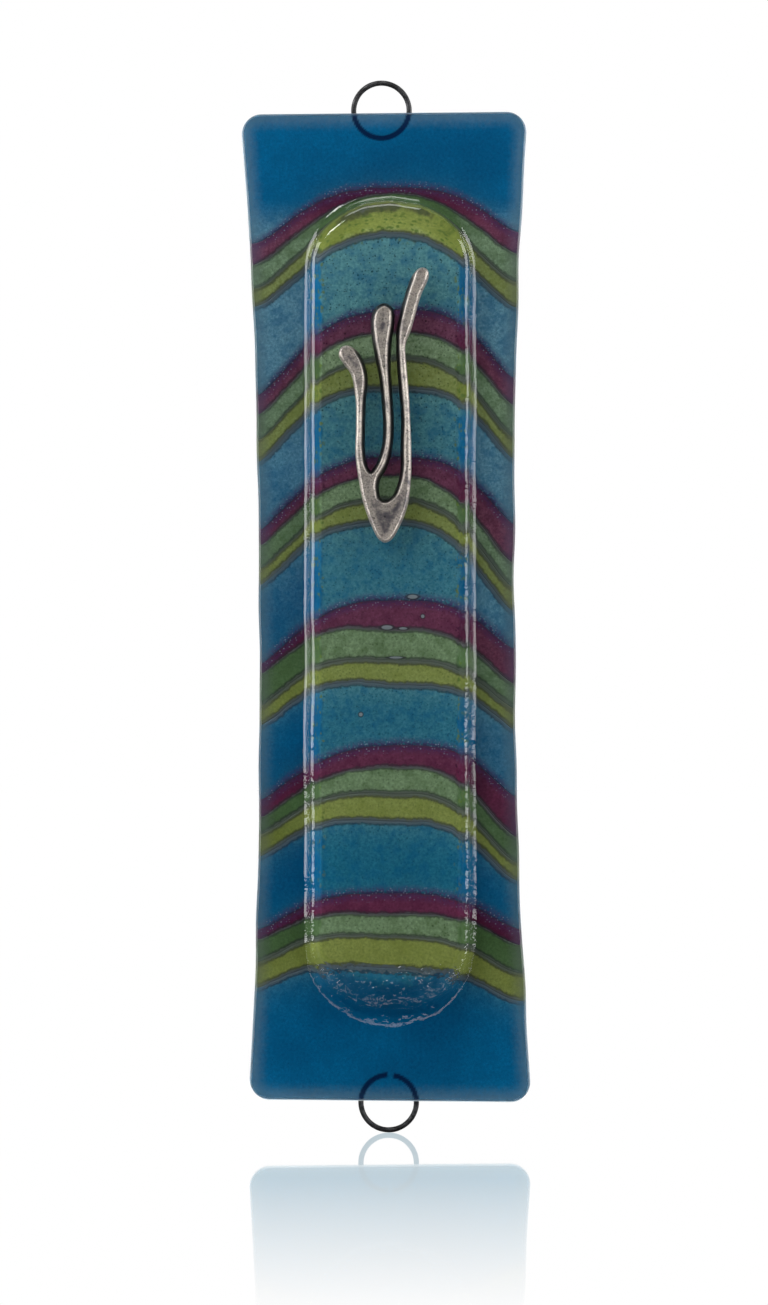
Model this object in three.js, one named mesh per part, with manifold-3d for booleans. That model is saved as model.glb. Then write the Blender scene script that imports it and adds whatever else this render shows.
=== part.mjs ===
// Fused-glass mezuzah case: two clear sheets with enamel stripes between them, slumped over a mould so
// that a round-ended ridge stands out in front and leaves a scroll pocket behind, with a wire ring at
// each end for the nails and a cast three-armed ornament on the ridge.
// Millimetres. X runs to the right, Y into the wall and Z up. The wall is the plane y = 0.
import * as THREE from "three";
import { mergeVertices } from "three/addons/utils/BufferGeometryUtils.js";
import Module from "manifold-3d";

const wasm = await Module();
wasm.setup();

// Panel outline, measured from the panel's centre.
const HALF_HEIGHT = 89;
const WAIST_HALF_WIDTH = 23.05;
const TOP_FLARE = 2.9;
const BOTTOM_FLARE = 2.5;
const FLARE_POWER = 2.5;
const CORNER_RADIUS = 3.8;
const LEAN_TOP = -0.55;
const RIGHT_SIDE_STRETCH = 0.00011;

// Glass layers, from the wall outwards.
const BACK_GLASS = 2.3;
const FRONT_GLASS = 2.45;
const FILM_SPACE = 0.45;
const FUSED_RIM_SPACE = 0.06;
const ENAMEL_CLEARANCE = 0.1;
const ENAMEL_INSET = 0.5;
const FIELD_GAP = 0.1;
const FRONT_RIM_RADIUS = 2.4;
const BACK_RIM_RADIUS = 1.4;
const RIM_EDGE_SHARE = 0.15;
const TOTAL_GLASS = BACK_GLASS + FILM_SPACE + FRONT_GLASS;

// Ridge raised by the mould. The widths grow from the mould side to the front face, and the ends are half
// ellipses whose height grows with the width.
const RIDGE_RISE = 8;
const RIDGE_X = 0.5;
const RIDGE_Z = 0.2;
const RIDGE_STRAIGHT = 60.6;
const CREST_HALF_WIDTH = { mould: 11.5, front: 13.1 };
const FOOT_HALF_WIDTH = { mould: 13.8, front: 15.8 };
const CREST_END = 4.5;
const END_GROWTH = 2.6;

// Loops round the ridge (half-width) and inside the outline (inset), and the steps round each loop.
const RIDGE_LOOPS = [11.5, 12.1, 12.7, 13.3, 13.8, 14.3, 14.8, 15.3, 15.8];
const RIM_LOOPS = [2.6, 1.3, 0.5, 0.2, 0];
const STRAIGHT_STEPS = 3;
const END_STEPS = 12;
const CORNER_START = 3 / 12;
const CORNER_END = 7 / 12;
const SIMPLIFY = 0.003;

// Wire rings.
const WIRE_RADIUS = 0.5;
const RING_RADIUS = 5;
const GROOVE_RADIUS = 0.62;
const RING_Y = -(BACK_GLASS - WIRE_RADIUS);
const TOP_RING = { x: -1, z: 89.5, openAt: -92, gap: 0.5 };
const BOTTOM_RING = { x: 0.3, z: -89.3, openAt: 86, gap: 1 };

// Ornament and its adhesive.
const ORNAMENT_TIP = { x: -0.3, z: 11.5 };
const ORNAMENT_THICKNESS = 2.2;
const ORNAMENT_BEVEL = 0.25;
const ADHESIVE = 0.3;
const ADHESIVE_SLACK = 0.03;

// The row's origin is on the back face, this far above the panel's centre.
const ORIGIN_HEIGHT = 80;

// Six groups of stripes. Each group's upper edge is highest at crestX and falls by `drop` towards the left
// and right sides. The heights of the three stripes are given at the left side, the crest and the right side.
const STRIPE_GROUPS = [
  {
    crestX: 1.4, crestZ: 75.5, drop: [9.4, 7.8],
    maroon: [3.8, 1.5, 3.9], green: [4.3, 3, 5], lime: [3.4, 4.2, 4.7],
  },
  {
    crestX: 2.8, crestZ: 53.1, drop: [14.4, 11.8],
    maroon: [3.6, 4, 5], green: [4.6, 4.6, 5.7], lime: [3.9, 5.4, 3.8],
  },
  {
    crestX: 2.4, crestZ: 26.8, drop: [12.6, 11.8],
    maroon: [2.9, 3.4, 7], green: [4.2, 4.2, 4.5], lime: [3, 4, 4.1],
  },
  {
    crestX: 2.3, crestZ: 1.2, drop: [11.4, 8.6],
    maroon: [1.8, 5.2, 6.2], green: [5.8, 5.7, 4.5], lime: [3.6, 4.4, 3.7],
  },
  {
    crestX: 4.1, crestZ: -24.8, drop: [9.9, 9],
    maroon: [3.2, 3.8, 7.1], green: [3.1, 5, 4.6], lime: [4, 5, 3.4],
  },
  {
    crestX: 0.9, crestZ: -51.3, drop: [6.7, 6.2],
    maroon: [1.9, 3.8, 2.9], green: [3.9, 4, 5.1], lime: [4.7, 6.1, 5],
  },
];
const STRIPE_SIDE_X = 22.5;

const COLOURS = {
  frontGlass: 0xdfe8e6,
  backGlass: 0xd2dfdc,
  blue: 0x04557c,
  maroon: 0x55204a,
  green: 0x4b6a3f,
  lime: 0x8f9a3a,
  wire: 0x35363a,
  pewter: 0x8f8c86,
  adhesive: 0xb9b7ac,
};

function mix(a, b, share) {
  return a + (b - a) * share;
}

function smooth(t) {
  const s = Math.min(Math.max(t, 0), 1);
  return s * s * (3 - 2 * s);
}

function halfWidth(z) {
  const flare = z > 0 ? TOP_FLARE : BOTTOM_FLARE;
  return WAIST_HALF_WIDTH + flare * Math.abs(z / HALF_HEIGHT) ** FLARE_POWER;
}

function centreX(z) {
  return (LEAN_TOP * z) / HALF_HEIGHT;
}

// Stations run once round the panel, counter-clockwise from the middle of the right side. Each quarter has
// a straight part along the ridge (share of its length) and an end part (angle up to the end's middle).
function loopStations() {
  const quarter = [];
  for (let step = 0; step < STRAIGHT_STEPS; step++) quarter.push({ straight: step / STRAIGHT_STEPS, turn: 0 });
  for (let step = 0; step < END_STEPS; step++) quarter.push({ straight: 1, turn: step / END_STEPS });
  const end = { straight: 1, turn: 1 };
  const back = [end, ...quarter.slice(1).reverse()];
  const signed = (stations, right, up) => stations.map((station) => ({ ...station, right, up }));
  return [
    ...signed(quarter, 1, 1),
    ...signed(back, -1, 1),
    ...signed(quarter, -1, -1),
    ...signed(back, 1, -1),
  ];
}

// A point of the loop round the ridge whose half-width is `reach`. The loop's ends are half ellipses.
function ridgePoint(station, reach) {
  const angle = (station.turn * Math.PI) / 2;
  const end = CREST_END + (reach - CREST_HALF_WIDTH.mould) * END_GROWTH;
  return {
    x: RIDGE_X + station.right * reach * Math.cos(angle),
    z: RIDGE_Z + station.up * (RIDGE_STRAIGHT * station.straight + end * Math.sin(angle)),
    reach,
    inset: Infinity,
  };
}

// A point of the loop that lies `inset` inside the panel's outline.
function rimPoint(station, inset) {
  const cornerZ = HALF_HEIGHT - CORNER_RADIUS;
  const cornerX = halfWidth(station.up * cornerZ) - CORNER_RADIUS;
  const radius = CORNER_RADIUS - inset;
  const { turn, right, up } = station;
  let across;
  let z;
  if (turn <= CORNER_START) {
    z = mix(RIDGE_STRAIGHT * station.straight, cornerZ, turn / CORNER_START);
    across = halfWidth(up * z) - inset;
  } else if (turn <= CORNER_END) {
    const angle = ((turn - CORNER_START) / (CORNER_END - CORNER_START)) * (Math.PI / 2);
    z = cornerZ + radius * Math.sin(angle);
    across = cornerX + radius * Math.cos(angle);
  } else {
    z = HALF_HEIGHT - inset;
    across = cornerX * (1 - (turn - CORNER_END) / (1 - CORNER_END));
  }
  return { x: centreX(up * z) + right * across, z: up * z, reach: Infinity, inset };
}

// Height of the ridge for the surface that lies `share` of the way from the mould to the front face.
function ridgeRise(reach, share) {
  const crest = mix(CREST_HALF_WIDTH.mould, CREST_HALF_WIDTH.front, share);
  const foot = mix(FOOT_HALF_WIDTH.mould, FOOT_HALF_WIDTH.front, share);
  return RIDGE_RISE * (1 - smooth((reach - crest) / (foot - crest)));
}

// A quarter-round that climbs from RIM_EDGE_SHARE at the outline to 1 at `radius` inside it.
function rimRound(inset, radius) {
  const inward = Math.min(inset / radius, 1);
  return mix(RIM_EDGE_SHARE, 1, Math.sqrt(1 - (1 - inward) ** 2));
}

// Each surface returns its distance from the wall at a point of a loop.
function mouldSurface({ reach, inset }) {
  return BACK_GLASS * (1 - rimRound(inset, BACK_RIM_RADIUS)) + ridgeRise(reach, 0);
}

function backGlassFront({ reach }) {
  return BACK_GLASS + ridgeRise(reach, BACK_GLASS / TOTAL_GLASS);
}

function enamelBack({ reach }) {
  return BACK_GLASS + ENAMEL_CLEARANCE + ridgeRise(reach, BACK_GLASS / TOTAL_GLASS);
}

function enamelFront({ reach }) {
  const share = (BACK_GLASS + FILM_SPACE) / TOTAL_GLASS;
  return BACK_GLASS + FILM_SPACE - ENAMEL_CLEARANCE + ridgeRise(reach, share);
}

// The sheets close up on each other outside the enamel.
function frontGlassBack({ reach, inset }) {
  const space = inset < ENAMEL_INSET ? FUSED_RIM_SPACE : FILM_SPACE;
  return BACK_GLASS + space + ridgeRise(reach, (BACK_GLASS + FILM_SPACE) / TOTAL_GLASS);
}

function frontSurface({ reach, inset }) {
  return BACK_GLASS + FILM_SPACE + FRONT_GLASS * rimRound(inset, FRONT_RIM_RADIUS) + ridgeRise(reach, 1);
}

function toSolid(geometry) {
  const bare = geometry.clone();
  bare.deleteAttribute("normal");
  bare.deleteAttribute("uv");
  const merged = mergeVertices(bare, 1e-4);
  const mesh = new wasm.Mesh({
    numProp: 3,
    vertProperties: merged.attributes.position.array,
    triVerts: new Uint32Array(merged.index.array),
  });
  return new wasm.Manifold(mesh);
}

function toGeometry(solid) {
  const mesh = solid.getMesh();
  const geometry = new THREE.BufferGeometry();
  geometry.setAttribute("position", new THREE.BufferAttribute(mesh.vertProperties, 3));
  geometry.setIndex(new THREE.BufferAttribute(mesh.triVerts, 1));
  geometry.computeVertexNormals();
  return geometry;
}

// A closed sheet between two surfaces, out to the loop that lies `inset` inside the panel's outline.
function sheetSolid(nearWall, farFromWall, inset) {
  const stations = loopStations();
  const count = stations.length;
  const loops = [
    ...RIDGE_LOOPS.map((reach) => stations.map((station) => ridgePoint(station, reach))),
    ...RIM_LOOPS.filter((rim) => rim >= inset).map((rim) => stations.map((station) => rimPoint(station, rim))),
  ];
  const positions = [];
  const indices = [];
  const quad = (a, b, c, d) => indices.push(a, b, c, a, c, d);
  const addSurface = (surface, flip) => {
    const start = positions.length / 3;
    for (const point of [{ x: RIDGE_X, z: RIDGE_Z, reach: 0, inset: Infinity }, ...loops.flat()]) {
      positions.push(point.x, -surface(point), point.z * (1 + RIGHT_SIDE_STRETCH * point.x));
    }
    for (let i = 0; i < count; i++) {
      const next = (i + 1) % count;
      indices.push(start, start + 1 + (flip ? next : i), start + 1 + (flip ? i : next));
      for (let loop = 0; loop + 1 < loops.length; loop++) {
        const inner = start + 1 + loop * count;
        const outer = inner + count;
        if (flip) quad(inner + next, outer + next, outer + i, inner + i);
        else quad(inner + i, outer + i, outer + next, inner + next);
      }
    }
    return start + 1 + (loops.length - 1) * count;
  };
  const far = addSurface(farFromWall, false);
  const near = addSurface(nearWall, true);
  for (let i = 0; i < count; i++) {
    const next = (i + 1) % count;
    quad(far + i, near + i, near + next, far + next);
  }
  const geometry = new THREE.BufferGeometry();
  geometry.setAttribute("position", new THREE.Float32BufferAttribute(positions, 3));
  geometry.setIndex(indices);
  return toSolid(geometry).simplify(SIMPLIFY);
}

// How far a stripe has fallen, as a share of its drop, at `t` of the way from its crest to the side.
function fallShape(t) {
  return t ** 2.8 * (1.25 - 0.25 * Math.min(t, 1.1) ** 6);
}

// Height of the line below the first `count` stripes of a group, at x. A count of 0 is its upper edge.
function stripeLine(group, count, x) {
  const side = x < group.crestX ? 0 : 1;
  const reach = side === 0 ? group.crestX + STRIPE_SIDE_X : STRIPE_SIDE_X - group.crestX;
  const t = Math.abs(x - group.crestX) / reach;
  const stripes = [group.maroon, group.green, group.lime].slice(0, count);
  const below = stripes.map((heights) => mix(heights[1], heights[side * 2], smooth(t)));
  return group.crestZ - group.drop[side] * fallShape(t) - below.reduce((sum, height) => sum + height, 0);
}

// The part of the enamel film between two lines, each given as z over x.
function filmBetween(film, upper, lower) {
  const xs = [];
  for (let x = -27; x <= 27.1; x += 3) xs.push(x);
  const points = [
    ...xs.map((x) => new THREE.Vector2(x, lower(x))),
    ...xs.reverse().map((x) => new THREE.Vector2(x, upper(x))),
  ];
  return film.intersect(throughY(new THREE.Shape(points)));
}

// A prism of a shape in the XZ plane that runs right through the part along Y.
function throughY(shape) {
  const depth = 40;
  const geometry = new THREE.ExtrudeGeometry(shape, { depth, bevelEnabled: false });
  geometry.rotateX(Math.PI / 2);
  geometry.translate(0, depth / 2, 0);
  return toSolid(geometry);
}

// The seven blue fields and the six groups of three stripes, each as [name, colour, solid].
function enamelPieces() {
  const film = sheetSolid(enamelBack, enamelFront, ENAMEL_INSET);
  const pieces = [];
  const blueField = (number, upper, lower) => {
    pieces.push([`blue_enamel_${number}`, COLOURS.blue, filmBetween(film, upper, lower)]);
  };
  let upper = () => HALF_HEIGHT + 1;
  STRIPE_GROUPS.forEach((group, i) => {
    const line = (count, shift) => (x) => stripeLine(group, count, x) + shift * FIELD_GAP;
    blueField(i + 1, upper, line(0, 0.5));
    ["maroon", "green", "lime"].forEach((name, count) => {
      const solid = filmBetween(film, line(count, -0.5), line(count + 1, 0.5));
      pieces.push([`${name}_stripe_${i + 1}`, COLOURS[name], solid]);
    });
    upper = line(3, -0.5);
  });
  blueField(STRIPE_GROUPS.length + 1, upper, () => -HALF_HEIGHT - 1);
  return pieces;
}

// A tube bent round the ring's circle, open by `gap` millimetres at the angle openAt.
function ringGeometry(ring, tubeRadius, sides, gap) {
  const halfGap = gap / 2 / RING_RADIUS;
  const start = THREE.MathUtils.degToRad(ring.openAt) + halfGap;
  const path = new THREE.Curve();
  path.getPoint = (t) => {
    const angle = start + t * (2 * Math.PI - 2 * halfGap);
    return new THREE.Vector3(
      ring.x + RING_RADIUS * Math.cos(angle),
      RING_Y,
      ring.z + RING_RADIUS * Math.sin(angle),
    );
  };
  const section = [];
  for (let side = 0; side < sides; side++) {
    const angle = (side * 2 * Math.PI) / sides;
    section.push(new THREE.Vector2(tubeRadius * Math.cos(angle), tubeRadius * Math.sin(angle)));
  }
  const options = { steps: 32, extrudePath: path, bevelEnabled: false };
  return new THREE.ExtrudeGeometry(new THREE.Shape(section), options);
}

function backGlass() {
  let glass = sheetSolid(mouldSurface, backGlassFront, 0);
  for (const ring of [TOP_RING, BOTTOM_RING]) {
    glass = glass.subtract(toSolid(ringGeometry(ring, GROOVE_RADIUS, 8, ring.gap / 2)));
  }
  return glass;
}

// Outline of the ornament from its lower tip round its three arms, in millimetres from the tip.
function ornamentShape() {
  const rightArm = [
    [0, 0], [1.1, 0.6], [2.5, 2.9], [3.9, 6.5], [4.5, 10.7], [4.6, 17], [4.4, 22.5], [4.1, 27.8],
    [3.8, 31.4], [3.6, 35.7], [4.6, 38.6], [6.3, 44.6], [7.7, 48], [7.5, 49.2], [6.6, 49.6], [5.6, 49.1],
    [5.1, 47.2], [4.3, 44.4], [2.9, 38.5], [2.4, 35.7], [2.6, 31.4], [2.9, 27.8], [3.3, 22.5], [3.2, 17],
  ];
  const lowerHollow = [[3.2, 13.6], [2.8, 11], [1.7, 8.3], [0, 7.2], [-1.1, 7.7], [-1.6, 9.3], [-1.4, 11.4]];
  const middleArm = [
    [-0.2, 14], [0.5, 17.2], [0.8, 20.7], [0.8, 24.3], [0.6, 29.6], [0.5, 33.2], [0.7, 36.5], [1.2, 40],
    [1, 42], [-0.2, 42.8], [-1.5, 42], [-2.1, 40.3], [-1.9, 36.7], [-1.3, 33.2], [-0.6, 29.6], [0, 24.3],
    [-0.2, 20.7], [-0.6, 17.2],
  ];
  const upperHollow = [[-1.4, 13.8], [-2.6, 12.4], [-3.6, 13.6], [-4.1, 17]];
  const leftArm = [
    [-4.1, 20.7], [-3.9, 26], [-3.6, 29.3], [-4, 31.6], [-5, 33.9], [-6.4, 35.5], [-7.8, 35.3],
    [-8.3, 33.9], [-7.3, 32.2], [-6.1, 30.4], [-5.3, 26], [-5.2, 20.7], [-5.3, 16], [-4.8, 11.8],
    [-3.9, 7.2], [-2.5, 3.2], [-1.1, 0.6],
  ];
  const outline = [...rightArm, ...lowerHollow, ...middleArm, ...upperHollow, ...leftArm];
  const points = outline.map(([x, z]) => new THREE.Vector3(x, z, 0));
  const curve = new THREE.CatmullRomCurve3(points, true, "centripetal");
  return new THREE.Shape(curve.getPoints(150).slice(0, -1).map((p) => new THREE.Vector2(p.x, p.y)));
}

function ornamentGeometry() {
  return new THREE.ExtrudeGeometry(ornamentShape(), {
    depth: ORNAMENT_THICKNESS - 2 * ORNAMENT_BEVEL,
    bevelThickness: ORNAMENT_BEVEL,
    bevelSize: ORNAMENT_BEVEL,
    bevelOffset: -ORNAMENT_BEVEL,
    bevelSegments: 1,
  }).translate(0, 0, ORNAMENT_BEVEL);
}

// The pad lies under the wide lower end of the ornament.
function adhesiveGeometry() {
  const points = [[0, 1.2], [2, 3.4], [2.9, 6], [0.2, 6.3], [-2.2, 8.2], [-3.1, 10.6], [-4, 10.4], [-2, 3.4]];
  const shape = new THREE.Shape(points.map(([x, z]) => new THREE.Vector2(x, z)));
  const depth = ADHESIVE - 2 * ADHESIVE_SLACK;
  return new THREE.ExtrudeGeometry(shape, { depth, bevelEnabled: false }).translate(0, 0, ADHESIVE_SLACK);
}

function glassMaterial(color) {
  return new THREE.MeshStandardMaterial({ color, roughness: 0.05, metalness: 0, transparent: true, opacity: 0.35 });
}

function enamelMaterial(color) {
  return new THREE.MeshStandardMaterial({ color, roughness: 0.35, metalness: 0 });
}

function wireMaterial() {
  return new THREE.MeshStandardMaterial({ color: COLOURS.wire, roughness: 0.5, metalness: 0.8 });
}

function pewterMaterial() {
  return new THREE.MeshStandardMaterial({ color: COLOURS.pewter, roughness: 0.4, metalness: 1 });
}

function adhesiveMaterial() {
  return new THREE.MeshStandardMaterial({ color: COLOURS.adhesive, roughness: 0.6, metalness: 0 });
}

function named(name, geometry, material) {
  const mesh = new THREE.Mesh(geometry, material);
  mesh.name = name;
  return mesh;
}

function panel() {
  const group = new THREE.Group();
  const front = sheetSolid(frontGlassBack, frontSurface, 0);
  group.add(named("front_glass_sheet", toGeometry(front), glassMaterial(COLOURS.frontGlass)));
  group.add(named("back_glass_sheet", toGeometry(backGlass()), glassMaterial(COLOURS.backGlass)));
  for (const [name, colour, solid] of enamelPieces()) {
    group.add(named(name, toGeometry(solid), enamelMaterial(colour)));
  }
  return group;
}

function rings() {
  const group = new THREE.Group();
  const top = ringGeometry(TOP_RING, WIRE_RADIUS, 8, TOP_RING.gap);
  const bottom = ringGeometry(BOTTOM_RING, WIRE_RADIUS, 8, BOTTOM_RING.gap);
  group.add(named("top_wire_ring", top, wireMaterial()));
  group.add(named("bottom_wire_ring", bottom, wireMaterial()));
  return group;
}

// The ornament and its pad are drawn flat in XY and turned to face the front.
function ornament() {
  const group = new THREE.Group();
  const metal = named("three_arm_ornament", ornamentGeometry(), pewterMaterial());
  metal.position.z = ADHESIVE;
  group.add(metal);
  group.add(named("ornament_adhesive", adhesiveGeometry(), adhesiveMaterial()));
  group.rotation.x = Math.PI / 2;
  group.position.set(ORNAMENT_TIP.x, -(TOTAL_GLASS + RIDGE_RISE), ORNAMENT_TIP.z);
  return group;
}

const caseParts = new THREE.Group();
caseParts.add(panel(), rings(), ornament());
caseParts.position.z = -ORIGIN_HEIGHT;

const mezuzahCase = new THREE.Group();
mezuzahCase.add(caseParts);

export default mezuzahCase;
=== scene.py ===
"""Visual model of a fused-glass mezuzah case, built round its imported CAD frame.

The case is two clear glass sheets fused with powdered enamel between them and slumped over a mould, so that a
round-ended ridge stands out in front of a scroll pocket. Two wire rings are caught between the sheets, and a
cast pewter ornament is glued on the ridge. All form sizes are in millimetres from the panel's centre, with X to
the right, Z up and depth measured from the wall towards the viewer. Meshes are in metres in the row frame.
"""

from __future__ import annotations

import logging
import math
from collections.abc import Callable
from dataclasses import dataclass, field
from enum import Enum
from functools import partial

import bpy
import numpy as np
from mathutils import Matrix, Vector
from mathutils.geometry import delaunay_2d_cdt
from numpy.typing import NDArray

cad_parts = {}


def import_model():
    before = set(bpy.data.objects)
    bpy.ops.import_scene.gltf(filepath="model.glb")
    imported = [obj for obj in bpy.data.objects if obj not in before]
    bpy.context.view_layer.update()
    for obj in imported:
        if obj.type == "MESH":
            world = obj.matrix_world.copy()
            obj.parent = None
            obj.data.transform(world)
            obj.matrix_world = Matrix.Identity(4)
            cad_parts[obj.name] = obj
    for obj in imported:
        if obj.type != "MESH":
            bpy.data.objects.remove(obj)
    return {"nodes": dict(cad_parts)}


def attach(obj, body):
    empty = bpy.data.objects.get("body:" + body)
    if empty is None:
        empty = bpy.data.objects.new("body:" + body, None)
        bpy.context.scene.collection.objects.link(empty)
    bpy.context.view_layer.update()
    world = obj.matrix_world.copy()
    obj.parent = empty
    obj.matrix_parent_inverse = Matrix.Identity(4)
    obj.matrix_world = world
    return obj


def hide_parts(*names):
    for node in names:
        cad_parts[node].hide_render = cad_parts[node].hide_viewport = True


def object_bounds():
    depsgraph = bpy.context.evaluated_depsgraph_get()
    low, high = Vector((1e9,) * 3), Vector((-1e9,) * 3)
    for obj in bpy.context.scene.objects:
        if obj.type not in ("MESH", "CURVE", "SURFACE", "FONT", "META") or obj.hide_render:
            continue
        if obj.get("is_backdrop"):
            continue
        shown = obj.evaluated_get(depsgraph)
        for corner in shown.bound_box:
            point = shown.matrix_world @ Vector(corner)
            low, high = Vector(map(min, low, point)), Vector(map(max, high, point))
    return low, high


LOG = logging.getLogger("mezuzah_case")
MM = 0.001
Array = NDArray[np.float64]
Line = Callable[[Array], Array]
Socket = bpy.types.NodeSocket
Input = bpy.types.NodeSocket | float | tuple[float, ...]
NodeAdder = Callable[..., bpy.types.NodeSocket | None]


def smooth(t: Array) -> Array:
    """Return the smooth step 3t^2 - 2t^3 of t, held between 0 and 1."""
    s = np.clip(t, 0.0, 1.0)
    return s * s * (3.0 - 2.0 * s)


def srgb(code: str) -> tuple[float, float, float, float]:
    """Turn an sRGB hex colour into the linear colour that shaders use.

    Args:
        code: The colour as six hex digits after a hash.

    Returns:
        Linear red, green and blue, and an alpha of 1.
    """
    channels = [int(code[i : i + 2], 16) / 255.0 for i in (1, 3, 5)]
    linear = [c / 12.92 if c <= 0.04045 else ((c + 0.055) / 1.055) ** 2.4 for c in channels]
    return (linear[0], linear[1], linear[2], 1.0)


def ripple(x: Array, z: Array, wavelength: float, seed: int) -> Array:
    """Return a gentle random swell between about -1 and 1.

    It is the mean of five sine waves in different directions, with wavelengths near the one asked for.

    Args:
        x: Positions across, in millimetres.
        z: Positions up, in millimetres.
        wavelength: Typical length of a swell, in millimetres.
        seed: Seed of the waves' directions and phases.

    Returns:
        The swell at each position.
    """
    rng = np.random.default_rng(seed)
    total = np.zeros(np.broadcast(x, z).shape)
    for _ in range(5):
        turn, phase = rng.uniform(0.0, 2.0 * math.pi, 2)
        wave = 2.0 * math.pi / (wavelength * rng.uniform(0.7, 1.5))
        total = total + np.sin(wave * (x * math.cos(turn) + z * math.sin(turn)) + phase)
    return total / 3.0


@dataclass(frozen=True)
class SlumpedForm:
    """The panel's outline and ridge, as the CAD part has them, in millimetres from the panel's centre.

    Attributes:
        half_height: Half the panel's height.
        waist: Half its width at mid-height.
        top_flare: How much half the width grows to the top.
        bottom_flare: How much it grows to the bottom.
        flare_power: Power of the height that the flare follows.
        corner: Radius of the corners.
        lean: How far the top's middle lies to the side of the centre.
        stretch: Share by which the right side is taller, for each millimetre across.
        origin_height: Height of the row frame's origin above the panel's centre.
        back_glass: Thickness of the back sheet.
        film: Thickness of the enamel.
        front_glass: Thickness of the front sheet.
        front_round: Radius of the front edge.
        back_round: Radius of the back edge.
        edge_share: Share of a sheet's thickness that is left at its very edge.
        edge_stray: How far each side's softened edge strays.
        middle_stray: How far both sides stray together.
        steady_end: Height above and below which the sides don't stray.
        ridge_x: Place of the ridge's middle across.
        ridge_z: Its place up.
        straight: Half the length of the ridge's straight part.
        rise: Height of the ridge.
        crest_mould: Half-width of the crest on the mould's side.
        crest_front: The same on the front.
        foot_mould: Half-width of the foot on the mould's side.
        foot_front: The same on the front.
        crest_end: Height of the half ellipse that closes the crest's contour.
        end_growth: How fast that height grows with the contour's half-width.
        round_width: Share of the slope's width that its shoulder and its foot each take.
        round_height: Share of its height that they each take.
    """

    half_height: float = 89.0
    waist: float = 23.05
    top_flare: float = 2.9
    bottom_flare: float = 2.5
    flare_power: float = 2.5
    corner: float = 3.8
    lean: float = -0.55
    stretch: float = 0.00011
    origin_height: float = 80.0
    back_glass: float = 2.3
    film: float = 0.45
    front_glass: float = 2.45
    front_round: float = 0.4
    back_round: float = 1.4
    edge_share: float = 0.15
    edge_stray: float = 0.1
    middle_stray: float = 0.13
    steady_end: float = 84.0
    ridge_x: float = 0.5
    ridge_z: float = 0.2
    straight: float = 60.6
    rise: float = 8.0
    crest_mould: float = 11.5
    crest_front: float = 13.1
    foot_mould: float = 13.8
    foot_front: float = 15.8
    crest_end: float = 4.5
    end_growth: float = 2.6
    round_width: float = 0.46
    round_height: float = 0.19

    @property
    def thickness(self) -> float:
        """Return the whole thickness of the fused glass."""
        return self.back_glass + self.film + self.front_glass

    def half_width(self, z: Array) -> Array:
        """Return half the width at height z, which flares towards both ends as a power of the height.

        The softened edge also strays by about a tenth of a millimetre, except near the ends.
        """
        flare = np.where(z > 0.0, self.top_flare, self.bottom_flare)
        uneven = self.edge_stray * ripple(np.zeros_like(z), z, 13.0, 31) * smooth((self.steady_end - np.abs(z)) / 20.0)
        return self.waist + flare * np.abs(z / self.half_height) ** self.flare_power + uneven

    def centre_x(self, z: Array) -> Array:
        """Return the middle of the width at height z, as the panel leans slightly and strays a little."""
        stray = self.middle_stray * ripple(np.zeros_like(z), z, 17.0, 32) * smooth((self.steady_end - np.abs(z)) / 20.0)
        return self.lean * z / self.half_height + stray

    def rounded_half_width(self, z: Array, inset: float) -> Array:
        """Return half the width inside the rounded corners, for an outline moved inwards by inset."""
        corner = self.corner - inset
        into = np.maximum(np.abs(z) - (self.half_height - self.corner), 0.0)
        arc = np.sqrt(np.maximum(corner**2 - into**2, 0.0))
        return self.half_width(z) - self.corner + arc

    def rim_distance(self, x: Array, z: Array) -> Array:
        """Return the distance from a point of the panel to its outline, round the corners too."""
        side = self.half_width(z) - np.abs(x - self.centre_x(z))
        end = self.half_height - np.abs(z)
        in_corner = (side < self.corner) & (end < self.corner)
        arc = self.corner - np.hypot(self.corner - side, self.corner - end)
        return np.where(in_corner, arc, np.minimum(side, end))

    def reach(self, x: Array, z: Array) -> Array:
        """Return the half-width of the ridge contour that passes through each point.

        The contours are a straight part closed by half ellipses, and an ellipse's height grows with its width.
        The half-width that puts the point on its ellipse is found by halving an interval thirty times.

        Args:
            x: Positions across.
            z: Positions up.

        Returns:
            The contour's half-width at each point, from 0 on the ridge's middle line.
        """
        across = np.abs(x - self.ridge_x)
        along = np.maximum(np.abs(z - self.ridge_z) - self.straight, 0.0)
        low = np.zeros(np.broadcast(across, along).shape)
        high = np.full_like(low, 60.0)
        for _ in range(30):
            middle = 0.5 * (low + high)
            end = np.maximum(self.crest_end + (middle - self.crest_mould) * self.end_growth, 0.35 * middle)
            outside = np.hypot(across / np.maximum(middle, 1e-6), along / np.maximum(end, 1e-6)) > 1.0
            low = np.where(outside, middle, low)
            high = np.where(outside, high, middle)
        return 0.5 * (low + high)

    def slope_share(self, reach: Array, share: float) -> Array:
        """Return how far out on the ridge's slope each point is, from 0 at the crest to 1 at the foot."""
        crest = self.crest_mould + (self.crest_front - self.crest_mould) * share
        foot = self.foot_mould + (self.foot_front - self.foot_mould) * share
        return np.clip((reach - crest) / (foot - crest), 0.0, 1.0)

    def ridge(self, reach: Array, share: float) -> Array:
        """Return the ridge's height for the surface that lies `share` of the way from mould to front."""
        return self.rise * (1.0 - smooth(self.slope_share(reach, share)))

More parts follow.
